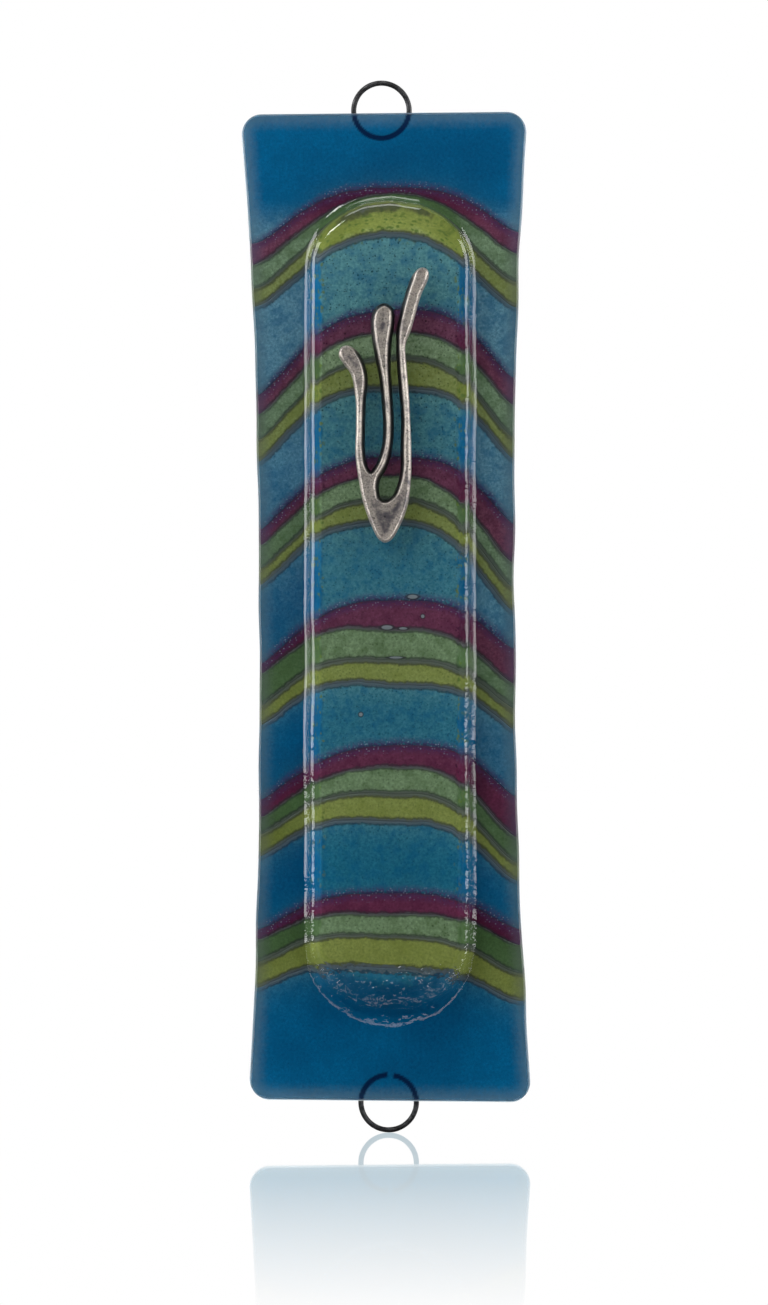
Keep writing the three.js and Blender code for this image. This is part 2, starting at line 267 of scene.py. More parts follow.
    def front_ridge(self, reach: Array) -> Array:
        """Return the front surface's ridge: a rounded shoulder, an almost upright wall and a rounded foot.

        Shoulder and foot are quarter ellipses, b(1 - sqrt(1 - (u/a)^2)), and the wall between is straight.
        """
        out = self.slope_share(reach, 1.0)
        width, height = self.round_width, self.round_height
        shoulder = 1.0 - height * (1.0 - np.sqrt(1.0 - np.clip(out / width, 0.0, 1.0) ** 2))
        foot = height * (1.0 - np.sqrt(1.0 - np.clip((1.0 - out) / width, 0.0, 1.0) ** 2))
        wall = height + (1.0 - 2.0 * height) * (1.0 - width - out) / (1.0 - 2.0 * width)
        return self.rise * np.where(out < width, shoulder, np.where(out > 1.0 - width, foot, wall))

    def wander(self, x: Array, z: Array) -> Array:
        """Return how far the ridge's contours stray sideways, as slow swells with quicker ones on them."""
        return 0.12 * ripple(x, z, 14.0, 3) + 0.04 * ripple(x, z, 4.5, 4)

    def rim_round(self, inset: Array, radius: float) -> Array:
        """Return the share of full thickness at a distance inside the outline, as a quarter round."""
        inward = np.clip(inset / radius, 0.0, 1.0)
        return self.edge_share + (1.0 - self.edge_share) * np.sqrt(1.0 - (1.0 - inward) ** 2)

    def place(self, x: Array, depth: Array, z: Array) -> Array:
        """Return row-frame points in metres, with the right side a little taller than the left."""
        up = z * (1.0 + self.stretch * x) - self.origin_height
        return np.stack([x, -depth, up], axis=-1) * MM


@dataclass(frozen=True)
class ContourGrid:
    """A grid of loops that run from the ridge's middle out to the panel's outline.

    Attributes:
        form: The form that the loops follow.
        straight_steps: Steps along a quarter of the ridge's straight part.
        end_steps: Steps along a quarter of its rounded end.
        corner_start: Turn at which the rim's corner arc begins.
        corner_end: Turn at which it ends.
        crest_loops: Loops on the flat crest.
        slope_loops: Loops on the slope.
        flange_loops: Loops across the flange.
        margin: How far the slope's loops run on past it at both sides.
    """

    form: SlumpedForm
    straight_steps: int = 70
    end_steps: int = 48
    corner_start: float = 0.25
    corner_end: float = 7.0 / 12.0
    crest_loops: int = 14
    slope_loops: int = 59
    flange_loops: int = 8
    margin: float = 0.5

    def stations(self) -> tuple[Array, Array, Array, Array]:
        """Return each station's share of the straight part, turn round the end, and its two signs."""
        quarter = np.array(
            [(i / self.straight_steps, 0.0) for i in range(self.straight_steps)]
            + [(1.0, i / self.end_steps) for i in range(self.end_steps)]
        )
        back = np.vstack([[(1.0, 1.0)], quarter[:0:-1]])
        loop = np.vstack([quarter, back, quarter, back])
        count = len(quarter)
        right = np.repeat([1.0, -1.0, -1.0, 1.0], count)
        up = np.repeat([1.0, 1.0, -1.0, -1.0], count)
        return loop[:, 0], loop[:, 1], right, up

    def ridge_loop(self, reach: float, scale: float = 1.0) -> tuple[Array, Array]:
        """Return the loop of one ridge contour, or a smaller copy of it on the flat crest.

        Args:
            reach: The contour's half-width.
            scale: Size of the copy about the ridge's middle.

        Returns:
            The loop's positions across and up.
        """
        share, turn, right, up = self.stations()
        angle = turn * math.pi / 2.0
        end = self.form.crest_end + (reach - self.form.crest_mould) * self.form.end_growth
        x = self.form.ridge_x + scale * right * reach * np.cos(angle)
        z = self.form.ridge_z + scale * up * (self.form.straight * share + end * np.sin(angle))
        return x, z

    def rim_loop(self, inset: float) -> tuple[Array, Array]:
        """Return the loop that lies `inset` inside the outline: sides, corner arcs and end edges."""
        share, turn, right, up = self.stations()
        form = self.form
        corner_z = form.half_height - form.corner
        corner_x = form.half_width(up * corner_z) - form.corner
        radius = form.corner - inset
        side_z = form.straight * share + (corner_z - form.straight * share) * turn / self.corner_start
        angle = (turn - self.corner_start) / (self.corner_end - self.corner_start) * math.pi / 2.0
        on_side = turn <= self.corner_start
        on_arc = ~on_side & (turn <= self.corner_end)
        z = np.where(on_side, side_z, np.where(on_arc, corner_z + radius * np.sin(angle), form.half_height - inset))
        across = np.where(
            on_side,
            form.half_width(up * z) - inset,
            np.where(
                on_arc,
                corner_x + radius * np.cos(angle),
                corner_x * (1.0 - (turn - self.corner_end) / (1.0 - self.corner_end)),
            ),
        )
        return form.centre_x(up * z) + right * across, up * z

    def loops(self, insets: Array) -> tuple[Array, Array]:
        """Return every loop from the crest to the rim as two arrays of shape (loops, stations).

        Args:
            insets: Distances inside the outline of the rim loops, from the inside out.

        Returns:
            Positions across and up.
        """
        crest, foot = self.form.crest_mould - self.margin, self.form.foot_front + self.margin
        rows = [self.ridge_loop(crest, scale) for scale in np.linspace(0.02, 1.0, self.crest_loops)[:-1]]
        rows += [self.ridge_loop(reach) for reach in np.linspace(crest, foot, self.slope_loops)]
        inner, outer = rows[-1], self.rim_loop(float(insets[0]))
        for t in np.linspace(0.0, 1.0, self.flange_loops)[1:-1]:
            rows.append((inner[0] + (outer[0] - inner[0]) * t, inner[1] + (outer[1] - inner[1]) * t))
        rows += [self.rim_loop(float(inset)) for inset in insets]
        return np.array([r[0] for r in rows]), np.array([r[1] for r in rows])


class MeshMaker:
    """Puts arrays of points and faces into named Blender objects."""

    @staticmethod
    def build(name: str, points: Array, faces: list[list[int]], shade_smooth: bool = True) -> bpy.types.Object:
        """Make an object of a mesh that is already in place.

        Args:
            name: The piece's name.
            points: Vertices in metres in the row frame, shape (count, 3).
            faces: Vertex numbers of each face, counter-clockwise from outside.
            shade_smooth: Whether the faces are shaded smooth.

        Returns:
            The new object, linked to the scene.
        """
        mesh = bpy.data.meshes.new(name)
        mesh.from_pydata(points.reshape(-1, 3).tolist(), [], faces)
        mesh.polygons.foreach_set("use_smooth", np.full(len(mesh.polygons), shade_smooth))
        mesh.validate()
        mesh.update()
        piece = bpy.data.objects.new(name, mesh)
        bpy.context.scene.collection.objects.link(piece)
        return piece

    @staticmethod
    def grid_faces(rows: int, columns: int, start: int, wrap: bool, flip: bool) -> Array:
        """Return the quads of a grid of vertices numbered row by row.

        Args:
            rows: Number of rows.
            columns: Number of columns.
            start: Number of the first vertex.
            wrap: Whether the last column joins the first.
            flip: Whether the faces turn the other way round.

        Returns:
            Vertex numbers, shape (quads, 4).
        """
        column = np.arange(columns if wrap else columns - 1)
        following = (column + 1) % columns
        row = np.arange(rows - 1)[:, None] * columns + start
        quads = np.stack([row + column, row + following, row + columns + following, row + columns + column], -1)
        quads = quads.reshape(-1, 4)
        return quads[:, ::-1] if flip else quads

    @staticmethod
    def set_values(piece: bpy.types.Object, name: str, values: Array) -> None:
        """Store one number per vertex on a piece, for its material to read.

        Args:
            piece: The piece.
            name: The attribute's name.
            values: One value per vertex.
        """
        layer = piece.data.attributes.new(name, "FLOAT", "POINT")
        layer.data.foreach_set("value", np.ascontiguousarray(values, dtype=np.float32).ravel())


class Kind(Enum):
    """The kinds of shader node in use: Blender's name, the usual settings and the output that is read."""

    RAMP = ("ShaderNodeMapRange", {"interpolation_type": "SMOOTHSTEP"}, 0)
    RANGE = ("ShaderNodeMapRange", {}, 0)
    TIMES = ("ShaderNodeMath", {"operation": "MULTIPLY"}, 0)
    TIMES_PLUS = ("ShaderNodeMath", {"operation": "MULTIPLY_ADD"}, 0)
    PLUS = ("ShaderNodeMath", {"operation": "ADD"}, 0)
    MINUS = ("ShaderNodeMath", {"operation": "SUBTRACT"}, 0)
    SIZE = ("ShaderNodeMath", {"operation": "ABSOLUTE"}, 0)
    LARGER = ("ShaderNodeMath", {"operation": "MAXIMUM"}, 0)
    SCALED = ("ShaderNodeVectorMath", {"operation": "SCALE"}, 0)
    FROM = ("ShaderNodeVectorMath", {"operation": "SUBTRACT"}, 0)
    STRETCHED = ("ShaderNodeVectorMath", {"operation": "MULTIPLY"}, 0)
    LENGTH = ("ShaderNodeVectorMath", {"operation": "LENGTH"}, "Value")
    LAID_OVER = ("ShaderNodeMix", {"data_type": "RGBA", "blend_type": "MIX", "clamp_result": False}, 2)
    TINTED = ("ShaderNodeMix", {"data_type": "RGBA", "blend_type": "MULTIPLY", "clamp_result": False}, 2)
    LESS = ("ShaderNodeMix", {"data_type": "RGBA", "blend_type": "SUBTRACT", "clamp_result": False}, 2)
    PLACE = ("ShaderNodeTexCoord", {}, "Object")
    DIRECTION = ("ShaderNodeTexCoord", {}, "Generated")
    AXES = ("ShaderNodeSeparateXYZ", {}, "Y")
    NOISE = ("ShaderNodeTexNoise", {}, 0)
    CELLS = ("ShaderNodeTexVoronoi", {"feature": "F1"}, 0)
    CHANNELS = ("ShaderNodeSeparateColor", {}, 0)
    GREY = ("ShaderNodeCombineColor", {}, 0)
    VALUES = ("ShaderNodeAttribute", {}, "Fac")
    BUMP = ("ShaderNodeBump", {}, 0)
    PATH = ("ShaderNodeLightPath", {}, 0)
    SURFACE = ("ShaderNodeBsdfPrincipled", {}, 0)
    CLEAR = ("ShaderNodeBsdfTransparent", {}, 0)
    MIRROR = ("ShaderNodeBsdfGlossy", {}, 0)
    GLOW = ("ShaderNodeEmission", {}, 0)
    SKY = ("ShaderNodeBackground", {}, 0)
    EITHER = ("ShaderNodeMixShader", {}, 0)
    BOTH = ("ShaderNodeAddShader", {}, 0)
    MATERIAL = ("ShaderNodeOutputMaterial", {}, None)
    WORLD = ("ShaderNodeOutputWorld", {}, None)


def add_node(
    tree: bpy.types.NodeTree,
    kind: Kind,
    inputs: dict[str | int, Input] | None = None,
    output: str | int | None = None,
    **settings: str,
) -> bpy.types.NodeSocket | None:
    """Add a node with its settings, and fill or link its inputs.

    Args:
        tree: The node tree.
        kind: The kind of node.
        inputs: Values or output sockets, by input name or number.
        output: The output that is wanted, where it isn't the kind's usual one.
        **settings: Further properties of the node.

    Returns:
        The node's output socket, if the kind has one.
    """
    blender_name, usual, usual_output = kind.value
    node = tree.nodes.new(blender_name)
    for key, value in (usual | settings).items():
        setattr(node, key, value)
    for key, value in (inputs or {}).items():
        if isinstance(value, bpy.types.NodeSocket):
            tree.links.new(value, node.inputs[key])
        else:
            node.inputs[key].default_value = value
    wanted = usual_output if output is None else output
    return None if wanted is None else node.outputs[wanted]


def new_material(name: str) -> tuple[bpy.types.Material, NodeAdder]:
    """Return a new material with an empty node tree, and the function that adds nodes to it."""
    material = bpy.data.materials.new(name)
    material.use_nodes = True
    material.node_tree.nodes.clear()
    return material, partial(add_node, material.node_tree)


def millimetre_coordinates(add: NodeAdder) -> bpy.types.NodeSocket:
    """Return the piece's own coordinates in millimetres, so that pattern scales are per millimetre."""
    return add(Kind.SCALED, {0: add(Kind.PLACE), "Scale": 1.0 / MM})


@dataclass(frozen=True)
class ClearGlass:
    """Soda-lime window glass, float sheet softened in a kiln: bright, smooth and very slightly wavy."""

    name: str
    tint: str = "#f3f8f7"
    roughness: float = 0.03
    edge_roughness: float = 0.85
    ior: float = 1.5
    wave_mm: float = 6.0
    wave_strength: float = 0.12
    pebbles_per_mm: float = 0.65
    pebble_strength: float = 0.9

    def make(self) -> bpy.types.Material:
        """Return the material. Lamps shine through it, so the enamel behind it is lit."""
        material, add = new_material(self.name)
        place = millimetre_coordinates(add)
        edge = add(Kind.VALUES, attribute_name="edge")
        slope = add(Kind.VALUES, attribute_name="slope")
        waves = add(Kind.NOISE, {"Vector": place, "Scale": 1.0 / self.wave_mm, "Detail": 2.0})
        # The slopes took the mould's pebbled face, with bumps about 1.5 mm apart.
        pebbles = add(Kind.NOISE, {"Vector": place, "Scale": self.pebbles_per_mm, "Detail": 2.0})
        pebbled = add(Kind.TIMES, {0: slope, 1: self.pebble_strength})
        waved = add(Kind.TIMES, {0: waves, 1: self.wave_strength})
        height = add(Kind.TIMES_PLUS, {0: pebbles, 1: pebbled, 2: waved})
        # The outer edge is only fire-softened, so it is satin where the faces are bright.
        glass = add(
            Kind.SURFACE,
            {
                "Base Color": srgb(self.tint),
                "Roughness": add(Kind.TIMES_PLUS, {0: edge, 1: self.edge_roughness, 2: self.roughness}),
                "IOR": self.ior,
                "Transmission Weight": 1.0,
                "Normal": add(Kind.BUMP, {"Height": height, "Strength": 0.5, "Distance": 1.0 * MM}),
            },
        )
        lamp = add(Kind.CLEAR, {"Color": srgb("#f0f5f4")})
        shader = add(Kind.EITHER, {0: add(Kind.PATH, output="Is Shadow Ray"), 1: glass, 2: lamp})
        add(Kind.MATERIAL, {"Surface": shader})
        return material


# Air bubbles caught in the seams: place across and up, half-width and half-height, in millimetres.
BUBBLES = (
    (4.6, 1.8, 1.2, 0.48),
    (0.0, -3.7, 1.35, 0.5),
    (2.9, -3.9, 1.0, 0.3),
    (1.6, -9.1, 1.6, 0.26),
    (6.4, -1.7, 0.42, 0.42),
    (-4.7, -19.3, 0.45, 0.45),
)


@dataclass(frozen=True)
class PowderEnamel:
    """Coloured glass powder sifted on the sheet and fused: cloudy, grainy, with dark specks and soft edges.

    Attributes:
        name: The material's name.
        body: Colour on the flat flange.
        deep: Colour of the denser clouds.
        haze: Milky colour where the crest lay on the mould.
        veil: Paler milky colour on the upper flange.
        crest: Colour of the powder where it was pressed thin over the crest.
        upper_line: Greyed colour of the seam along its upper line.
        lower_line: The same along its lower line.
        edge: Darker colour on both sides of a seam, and the painted shade of the ring round bubbles.
        rim: Colour that the powder thins out to at the outline.
        fleck: Colour of the stray grains along the shoulder of the ridge.
        wire_shade: Colour over a wire.
        fringed: The seam attribute of the line where blue meets maroon, if the field has one.
        fringe: Colour of the mixed grains along that line.
        speck_tint: What a dark speck multiplies the colour by.
        bubble_highlight: Painted highlight in the middle of bubbles.
        air_speck_highlight: Painted highlight of the tiny air specks in the fringe.
    """

    name: str
    body: str
    deep: str
    haze: str
    veil: str
    crest: str
    upper_line: str = "#4d4b50"
    lower_line: str = "#50564f"
    edge: str = "#2c2c30"
    rim: str = "#4f6a7c"
    fleck: str = "#56642c"
    wire_shade: str = "#021333"
    fringed: str = ""
    fringe: str = "#38375a"
    speck_tint: str = "#1a3038"
    bubble_highlight: str = "#7b8186"
    air_speck_highlight: str = "#93a3b4"

    def make(self) -> bpy.types.Material:
        """Return the material, which reads the film's own attributes."""
        material, add = new_material(self.name)
        place = millimetre_coordinates(add)
        names = ("haze", "veil", "crest", "upper_seam", "lower_seam", "rim", "wire", "shoulder")
        read = {key: add(Kind.VALUES, attribute_name=key) for key in names}
        # Grains are the powder itself, 0.2 to 0.4 mm, drawn at 0.6 mm so that they show.
        grains = add(Kind.NOISE, {"Vector": place, "Scale": 1.9, "Detail": 4.0, "Roughness": 0.75})
        colour = self.powder(add, place, read, grains)
        colour = self.stray_grains(add, place, read, grains, colour)
        wobble = add(Kind.NOISE, {"Vector": place, "Scale": 1.2, "Detail": 4.0, "Roughness": 0.6})
        shift = add(Kind.TIMES_PLUS, {0: wobble, 1: 0.8, 2: -0.4})
        colour = self.seams(add, place, read, grains, shift, colour)
        colour = self.bubbles(add, place, colour)
        thin = add(Kind.RAMP, {0: add(Kind.TIMES_PLUS, {0: shift, 1: 2.2, 2: read["rim"]}), 1: 3.4, 2: 0.0})
        colour = add(Kind.LAID_OVER, {0: add(Kind.TIMES, {0: thin, 1: 0.7}), 6: colour, 7: srgb(self.rim)})
        shade = add(Kind.TIMES, {0: read["wire"], 1: 0.92})
        colour = add(Kind.LAID_OVER, {0: shade, 6: colour, 7: srgb(self.wire_shade)})
        paint = add(Kind.SURFACE, {"Base Color": colour, "Roughness": 0.55, "Specular IOR Level": 0.03})
        add(Kind.MATERIAL, {"Surface": paint})
        return material

    def powder(self, add: NodeAdder, place: Socket, read: dict[str, Socket], grains: Socket) -> Socket:
        """Return the field's own colour: clouds, crest, haze, grain and mottles.

        Args:
            add: The function that adds a node to the material.
            place: Coordinates in millimetres.
            read: The film's attributes.
            grains: The pattern of the grains.

        Returns:
            The colour so far.
        """
        # Clouds are where the powder was sifted thicker, about 12 mm across.
        clouds = add(Kind.NOISE, {"Vector": place, "Scale": 0.085, "Detail": 3.0})
        cloudy = add(Kind.RAMP, {0: clouds, 1: 0.35, 2: 0.65})
        colour = add(Kind.LAID_OVER, {0: cloudy, 6: srgb(self.body), 7: srgb(self.deep)})
        pressed = add(Kind.TIMES, {0: read["crest"], 1: 0.75})
        colour = add(Kind.LAID_OVER, {0: pressed, 6: colour, 7: srgb(self.crest)})
        # The haze is itself grainy, and its border breaks up.
        broken = add(Kind.TIMES_PLUS, {0: grains, 1: 1.5, 2: 0.25})
        for key, milky in (("haze", self.haze), ("veil", self.veil)):
            share = add(Kind.TIMES, {0: read[key], 1: broken})
            colour = add(Kind.LAID_OVER, {0: share, 6: colour, 7: srgb(milky)})
        # The grains lighten and darken the colour by up to a third.
        level = add(Kind.RANGE, {0: grains, 1: 0.25, 2: 0.75, 3: 0.68, 4: 1.32})
        grey = add(Kind.GREY, {0: level, 1: level, 2: level})
        colour = add(Kind.TINTED, {0: 1.0, 6: colour, 7: grey})
        # Uneven sifting also leaves mottles about 2 mm across.
        mottles = add(Kind.NOISE, {"Vector": place, "Scale": 0.5, "Detail": 3.0, "Roughness": 0.6})
        mottled = add(Kind.TIMES, {0: add(Kind.RAMP, {0: mottles, 1: 0.42, 2: 0.68}), 1: 0.45})
        return add(Kind.LAID_OVER, {0: mottled, 6: colour, 7: srgb(self.deep)})

    def stray_grains(
        self, add: NodeAdder, place: Socket, read: dict[str, Socket], grains: Socket, colour: Socket
    ) -> Socket:
        """Return the colour with dark specks, and with flecks along the ridge's shoulder.

        Args:
            add: The function that adds a node to the material.
            place: Coordinates in millimetres.
            read: The film's attributes.
            grains: The pattern of the grains.
            colour: The colour under them.

        Returns:
            The colour so far.
        """
        # Dark specks are coarse grains: small ones about 0.3 mm and 1 mm apart, larger ones 0.5 mm and 3 mm apart.
        for scale, size, share, strength in ((1.7, 0.3, 0.3, 0.6), (0.8, 0.2, 0.5, 0.5)):
            cells = add(Kind.CELLS, {"Vector": place, "Scale": scale})
            picked = add(Kind.CHANNELS, {0: cells.node.outputs["Color"]})
            spot = add(Kind.RAMP, {0: cells, 1: size, 2: size * 0.5})
            speck = add(Kind.TIMES, {0: spot, 1: add(Kind.RAMP, {0: picked, 1: share, 2: share + 0.05})})
            shown = add(Kind.TIMES_PLUS, {0: read["haze"], 1: strength, 2: 0.12})
            dark = add(Kind.TIMES, {0: speck, 1: shown})
            colour = add(Kind.TINTED, {0: dark, 6: colour, 7: srgb(self.speck_tint)})
        # Stray grains of the lime powder lie along the shoulder, 0.5 mm across.
        stray = add(Kind.CELLS, {"Vector": place, "Scale": 1.0})
        chosen = add(Kind.CHANNELS, {0: stray.node.outputs["Color"]}, 1)
        ragged = add(Kind.RAMP, {0: add(Kind.PLUS, {0: stray, 1: grains}), 1: 0.98, 2: 0.75})
        fleck = add(Kind.TIMES, {0: ragged, 1: add(Kind.RAMP, {0: chosen, 1: 0.4, 2: 0.5})})
        along = add(Kind.TIMES, {0: fleck, 1: read["shoulder"]})
        share = add(Kind.TIMES, {0: along, 1: 0.8})
        return add(Kind.LAID_OVER, {0: share, 6: colour, 7: srgb(self.fleck)})

    def seams(
        self, add: NodeAdder, place: Socket, read: dict[str, Socket], grains: Socket, shift: Socket, colour: Socket
    ) -> Socket:
        """Return the colour with the lines where two powders met.

        Args:
            add: The function that adds a node to the material.
            place: Coordinates in millimetres.
            read: The film's attributes.
            grains: The pattern of the grains.
            shift: How far the lines stray, in millimetres.
            colour: The colour under them.

        Returns:
            The colour so far.
        """
        # Where blue and maroon powders met, grains of both and tiny air specks make a band about 1 mm wide. The air
        # specks are painted as pale highlights.
        air = add(Kind.CELLS, {"Vector": place, "Scale": 2.4})
        held = add(Kind.CHANNELS, {0: air.node.outputs["Color"]}, 2)
        spot = add(Kind.RAMP, {0: air, 1: 0.34, 2: 0.2})
        highlight_dots = add(Kind.TIMES, {0: spot, 1: add(Kind.RAMP, {0: held, 1: 0.55, 2: 0.6})})
        for seam, line in (("upper_seam", self.upper_line), ("lower_seam", self.lower_line)):
            distance = add(Kind.PLUS, {0: read[seam], 1: shift})
            darkness, cover = 0.7, 0.9
            if seam == self.fringed:
                darkness, cover = 0.35, 0.6
                near = add(Kind.RAMP, {0: distance, 1: 1.7, 2: 0.1})
                mixed = add(Kind.TIMES, {0: near, 1: add(Kind.RAMP, {0: grains, 1: 0.36, 2: 0.52})})
                colour = add(Kind.LAID_OVER, {0: mixed, 6: colour, 7: srgb(self.fringe)})
                # Painted highlights of the tiny air specks.
                lit = add(Kind.TIMES, {0: add(Kind.TIMES, {0: near, 1: highlight_dots}), 1: 0.5})
                colour = add(Kind.LAID_OVER, {0: lit, 6: colour, 7: srgb(self.air_speck_highlight)})
            dark = add(Kind.TIMES, {0: add(Kind.RAMP, {0: distance, 1: 0.42, 2: 0.04}), 1: darkness})
            colour = add(Kind.LAID_OVER, {0: dark, 6: colour, 7: srgb(self.edge)})
            inside = add(Kind.TIMES, {0: add(Kind.RAMP, {0: distance, 1: 0.0, 2: -0.22}), 1: cover})
            colour = add(Kind.LAID_OVER, {0: inside, 6: colour, 7: srgb(line)})
        return colour

    def bubbles(self, add: NodeAdder, place: Socket, colour: Socket) -> Socket:
        """Return the colour with the bubbles, each painted as a dark shaded ring round a pale highlight.

        Args:
            add: The function that adds a node to the material.
            place: Coordinates in millimetres.
            colour: The colour under them.

        Returns:
            The colour so far.
        """
        for across, up, half_width, half_height in BUBBLES:
            off = add(Kind.FROM, {0: place, 1: (across, 0.0, up - SlumpedForm.origin_height)})
            squeezed = add(Kind.STRETCHED, {0: off, 1: (1.0 / half_width, 0.0, 1.0 / half_height)})
            ring = add(Kind.LENGTH, {0: squeezed})
            # Painted light: the dark ring is painted shade and the pale middle a painted highlight, where the air bends
            # the light.
            for outer, inner, share, code in ((1.35, 1.0, 0.75, self.edge), (0.85, 0.6, 0.8, self.bubble_highlight)):
                cover = add(Kind.TIMES, {0: add(Kind.RAMP, {0: ring, 1: outer, 2: inner}), 1: share})
                colour = add(Kind.LAID_OVER, {0: cover, 6: colour, 7: srgb(code)})
        return colour


@dataclass(frozen=True)
class OxidisedWire:
    """Nickel-chromium wire blackened in the kiln: dark grey metal with a dull, patchy oxide skin."""

    name: str = "oxidised_nichrome_wire"
    metal: str = "#4a4a4c"
    oxide: str = "#1b1b1d"

    def make(self) -> bpy.types.Material:
        """Return the material."""
        material, add = new_material(self.name)
        place = millimetre_coordinates(add)
        # The oxide lies in patches just under 1 mm long, and its skin is rough at 0.15 mm.
        patches = add(Kind.NOISE, {"Vector": place, "Scale": 1.2, "Detail": 4.0})
        share = add(Kind.RAMP, {0: patches, 1: 0.3, 2: 0.75})
        skin = add(Kind.NOISE, {"Vector": place, "Scale": 7.0, "Detail": 3.0})
        metal = add(
            Kind.SURFACE,
            {
                "Base Color": add(Kind.LAID_OVER, {0: share, 6: srgb(self.oxide), 7: srgb(self.metal)}),
                "Metallic": 0.6,
                "Roughness": add(Kind.TIMES_PLUS, {0: share, 1: -0.2, 2: 0.6}),
                "Normal": add(Kind.BUMP, {"Height": skin, "Strength": 0.35, "Distance": 0.05 * MM}),
            },
        )
        add(Kind.MATERIAL, {"Surface": metal})
        return material


@dataclass(frozen=True)
class AntiquePewter:
    """Cast pewter, blackened and rubbed back: warm grey high faces, black patina in the hollows and cast pits. The
    walls' black also holds painted shade for the shadow beside them on the glass.
    """

    name: str = "antiqued_cast_pewter"
    metal: str = "#b9b0a6"
    tarnish: str = "#57545a"
    black: str = "#0d0c0d"

    def make(self) -> bpy.types.Material:
        """Return the material, which reads how black each point is: real patina in the hollows, and painted shade on
        the walls.
        """
        material, add = new_material(self.name)
        place = millimetre_coordinates(add)
        patina_and_shade = add(Kind.VALUES, attribute_name="patina_and_shade")
        hollow = add(Kind.VALUES, attribute_name="hollow")
        # Tarnish lies in clouds of about 3 mm, and thickest in the dished middles.
        clouds = add(Kind.NOISE, {"Vector": place, "Scale": 0.42, "Detail": 5.0, "Roughness": 0.65})
        grit = add(Kind.NOISE, {"Vector": place, "Scale": 3.4, "Detail": 4.0, "Roughness": 0.75})
        depth = add(Kind.TIMES_PLUS, {0: hollow, 1: 0.2, 2: clouds})
        cloudy = add(Kind.RAMP, {0: depth, 1: 0.45, 2: 0.78})
        colour = add(Kind.LAID_OVER, {0: cloudy, 6: srgb(self.metal), 7: srgb(self.tarnish)})
        gritty = add(Kind.TIMES, {0: add(Kind.RAMP, {0: grit, 1: 0.46, 2: 0.66}), 1: 0.85})
        colour = add(Kind.LAID_OVER, {0: gritty, 6: colour, 7: srgb(self.tarnish)})
        # Cast pits are about 0.4 mm across.
        pits = add(Kind.CELLS, {"Vector": place, "Scale": 0.8})
        pit = add(Kind.TIMES, {0: add(Kind.RAMP, {0: pits, 1: 0.2, 2: 0.08}), 1: 0.7})
        # Black pits, and black walls: patina, with painted shade standing in for the shadow on the glass beside the
        # walls.
        for share in (pit, patina_and_shade):
            colour = add(Kind.LAID_OVER, {0: share, 6: colour, 7: srgb(self.black)})
        relief = add(Kind.MINUS, {0: grit, 1: pit})
        metal = add(
            Kind.SURFACE,
            {
                "Base Color": colour,
                "Metallic": add(Kind.TIMES_PLUS, {0: patina_and_shade, 1: -0.45, 2: 0.6}),
                "Roughness": add(Kind.TIMES_PLUS, {0: clouds, 1: 0.3, 2: 0.25}),
                "Normal": add(Kind.BUMP, {"Height": relief, "Strength": 0.5, "Distance": 0.06 * MM}),
            },
        )
        add(Kind.MATERIAL, {"Surface": metal})
        return material


@dataclass(frozen=True)
class CuredGlue:
    """Clear two-part glue, cured: yellowish grey and glossy, with small air specks."""

    name: str = "cured_clear_glue"
    body: str = "#7c7b6e"
    speck: str = "#a9a898"

    def make(self) -> bpy.types.Material:
        """Return the material."""
        material, add = new_material(self.name)
        # The air specks are 0.2 mm across and 0.5 mm apart.
        air = add(Kind.CELLS, {"Vector": millimetre_coordinates(add), "Scale": 2.0})
        specks = add(Kind.RAMP, {0: air, 1: 0.3, 2: 0.15})
        colour = add(Kind.LAID_OVER, {0: specks, 6: srgb(self.body), 7: srgb(self.speck)})
        glue = add(Kind.SURFACE, {"Base Color": colour, "Roughness": 0.25})
        add(Kind.MATERIAL, {"Surface": glue})
        return material


class Powder(Enum):
    """The four enamel colours, each with its name in the CAD and its material slot."""

    BLUE = "blue"
    MAROON = "maroon"
    GREEN = "green"
    LIME = "lime"

    @property
    def slot(self) -> str:
        """Return the record's slot for this colour."""
        return f"{self.value}_enamel"


FINISHES = {
    Powder.BLUE: PowderEnamel(
        name="blue_powder_enamel",
        body="#00557f",
        deep="#004b73",
        haze="#4f7c82",
        veil="#5f8798",
        crest="#005870",
        upper_line="#4a565e",
        lower_line="#27324e",
        fringed="lower_seam",
    ),
    Powder.MAROON: PowderEnamel(
        name="maroon_powder_enamel",
        body="#5e2440",
        deep="#42172f",
        haze="#653c50",
        veil="#6e4054",
        crest="#5a2640",
        upper_line="#35203f",
        lower_line="#4d4b4e",
        rim="#57475e",
        fleck="#38172b",
        fringed="upper_seam",
        fringe="#45284a",
    ),
    Powder.GREEN: PowderEnamel(
        name="green_powder_enamel",
        body="#4b6440",
        deep="#3d5332",
        haze="#7f9274",
        veil="#758a70",
        crest="#4d6442",
        upper_line="#4d4b4e",
        rim="#5a665c",
        fleck="#55692f",
    ),
    Powder.LIME: PowderEnamel(
        name="lime_powder_enamel",
        body="#757d40",
        deep="#666f32",
        haze="#788250",
        veil="#7c8552",
        crest="#757d40",
        upper_line="#50564f",
        lower_line="#4c545a",
        rim="#666b54",
        fleck="#455a28",
    ),
}


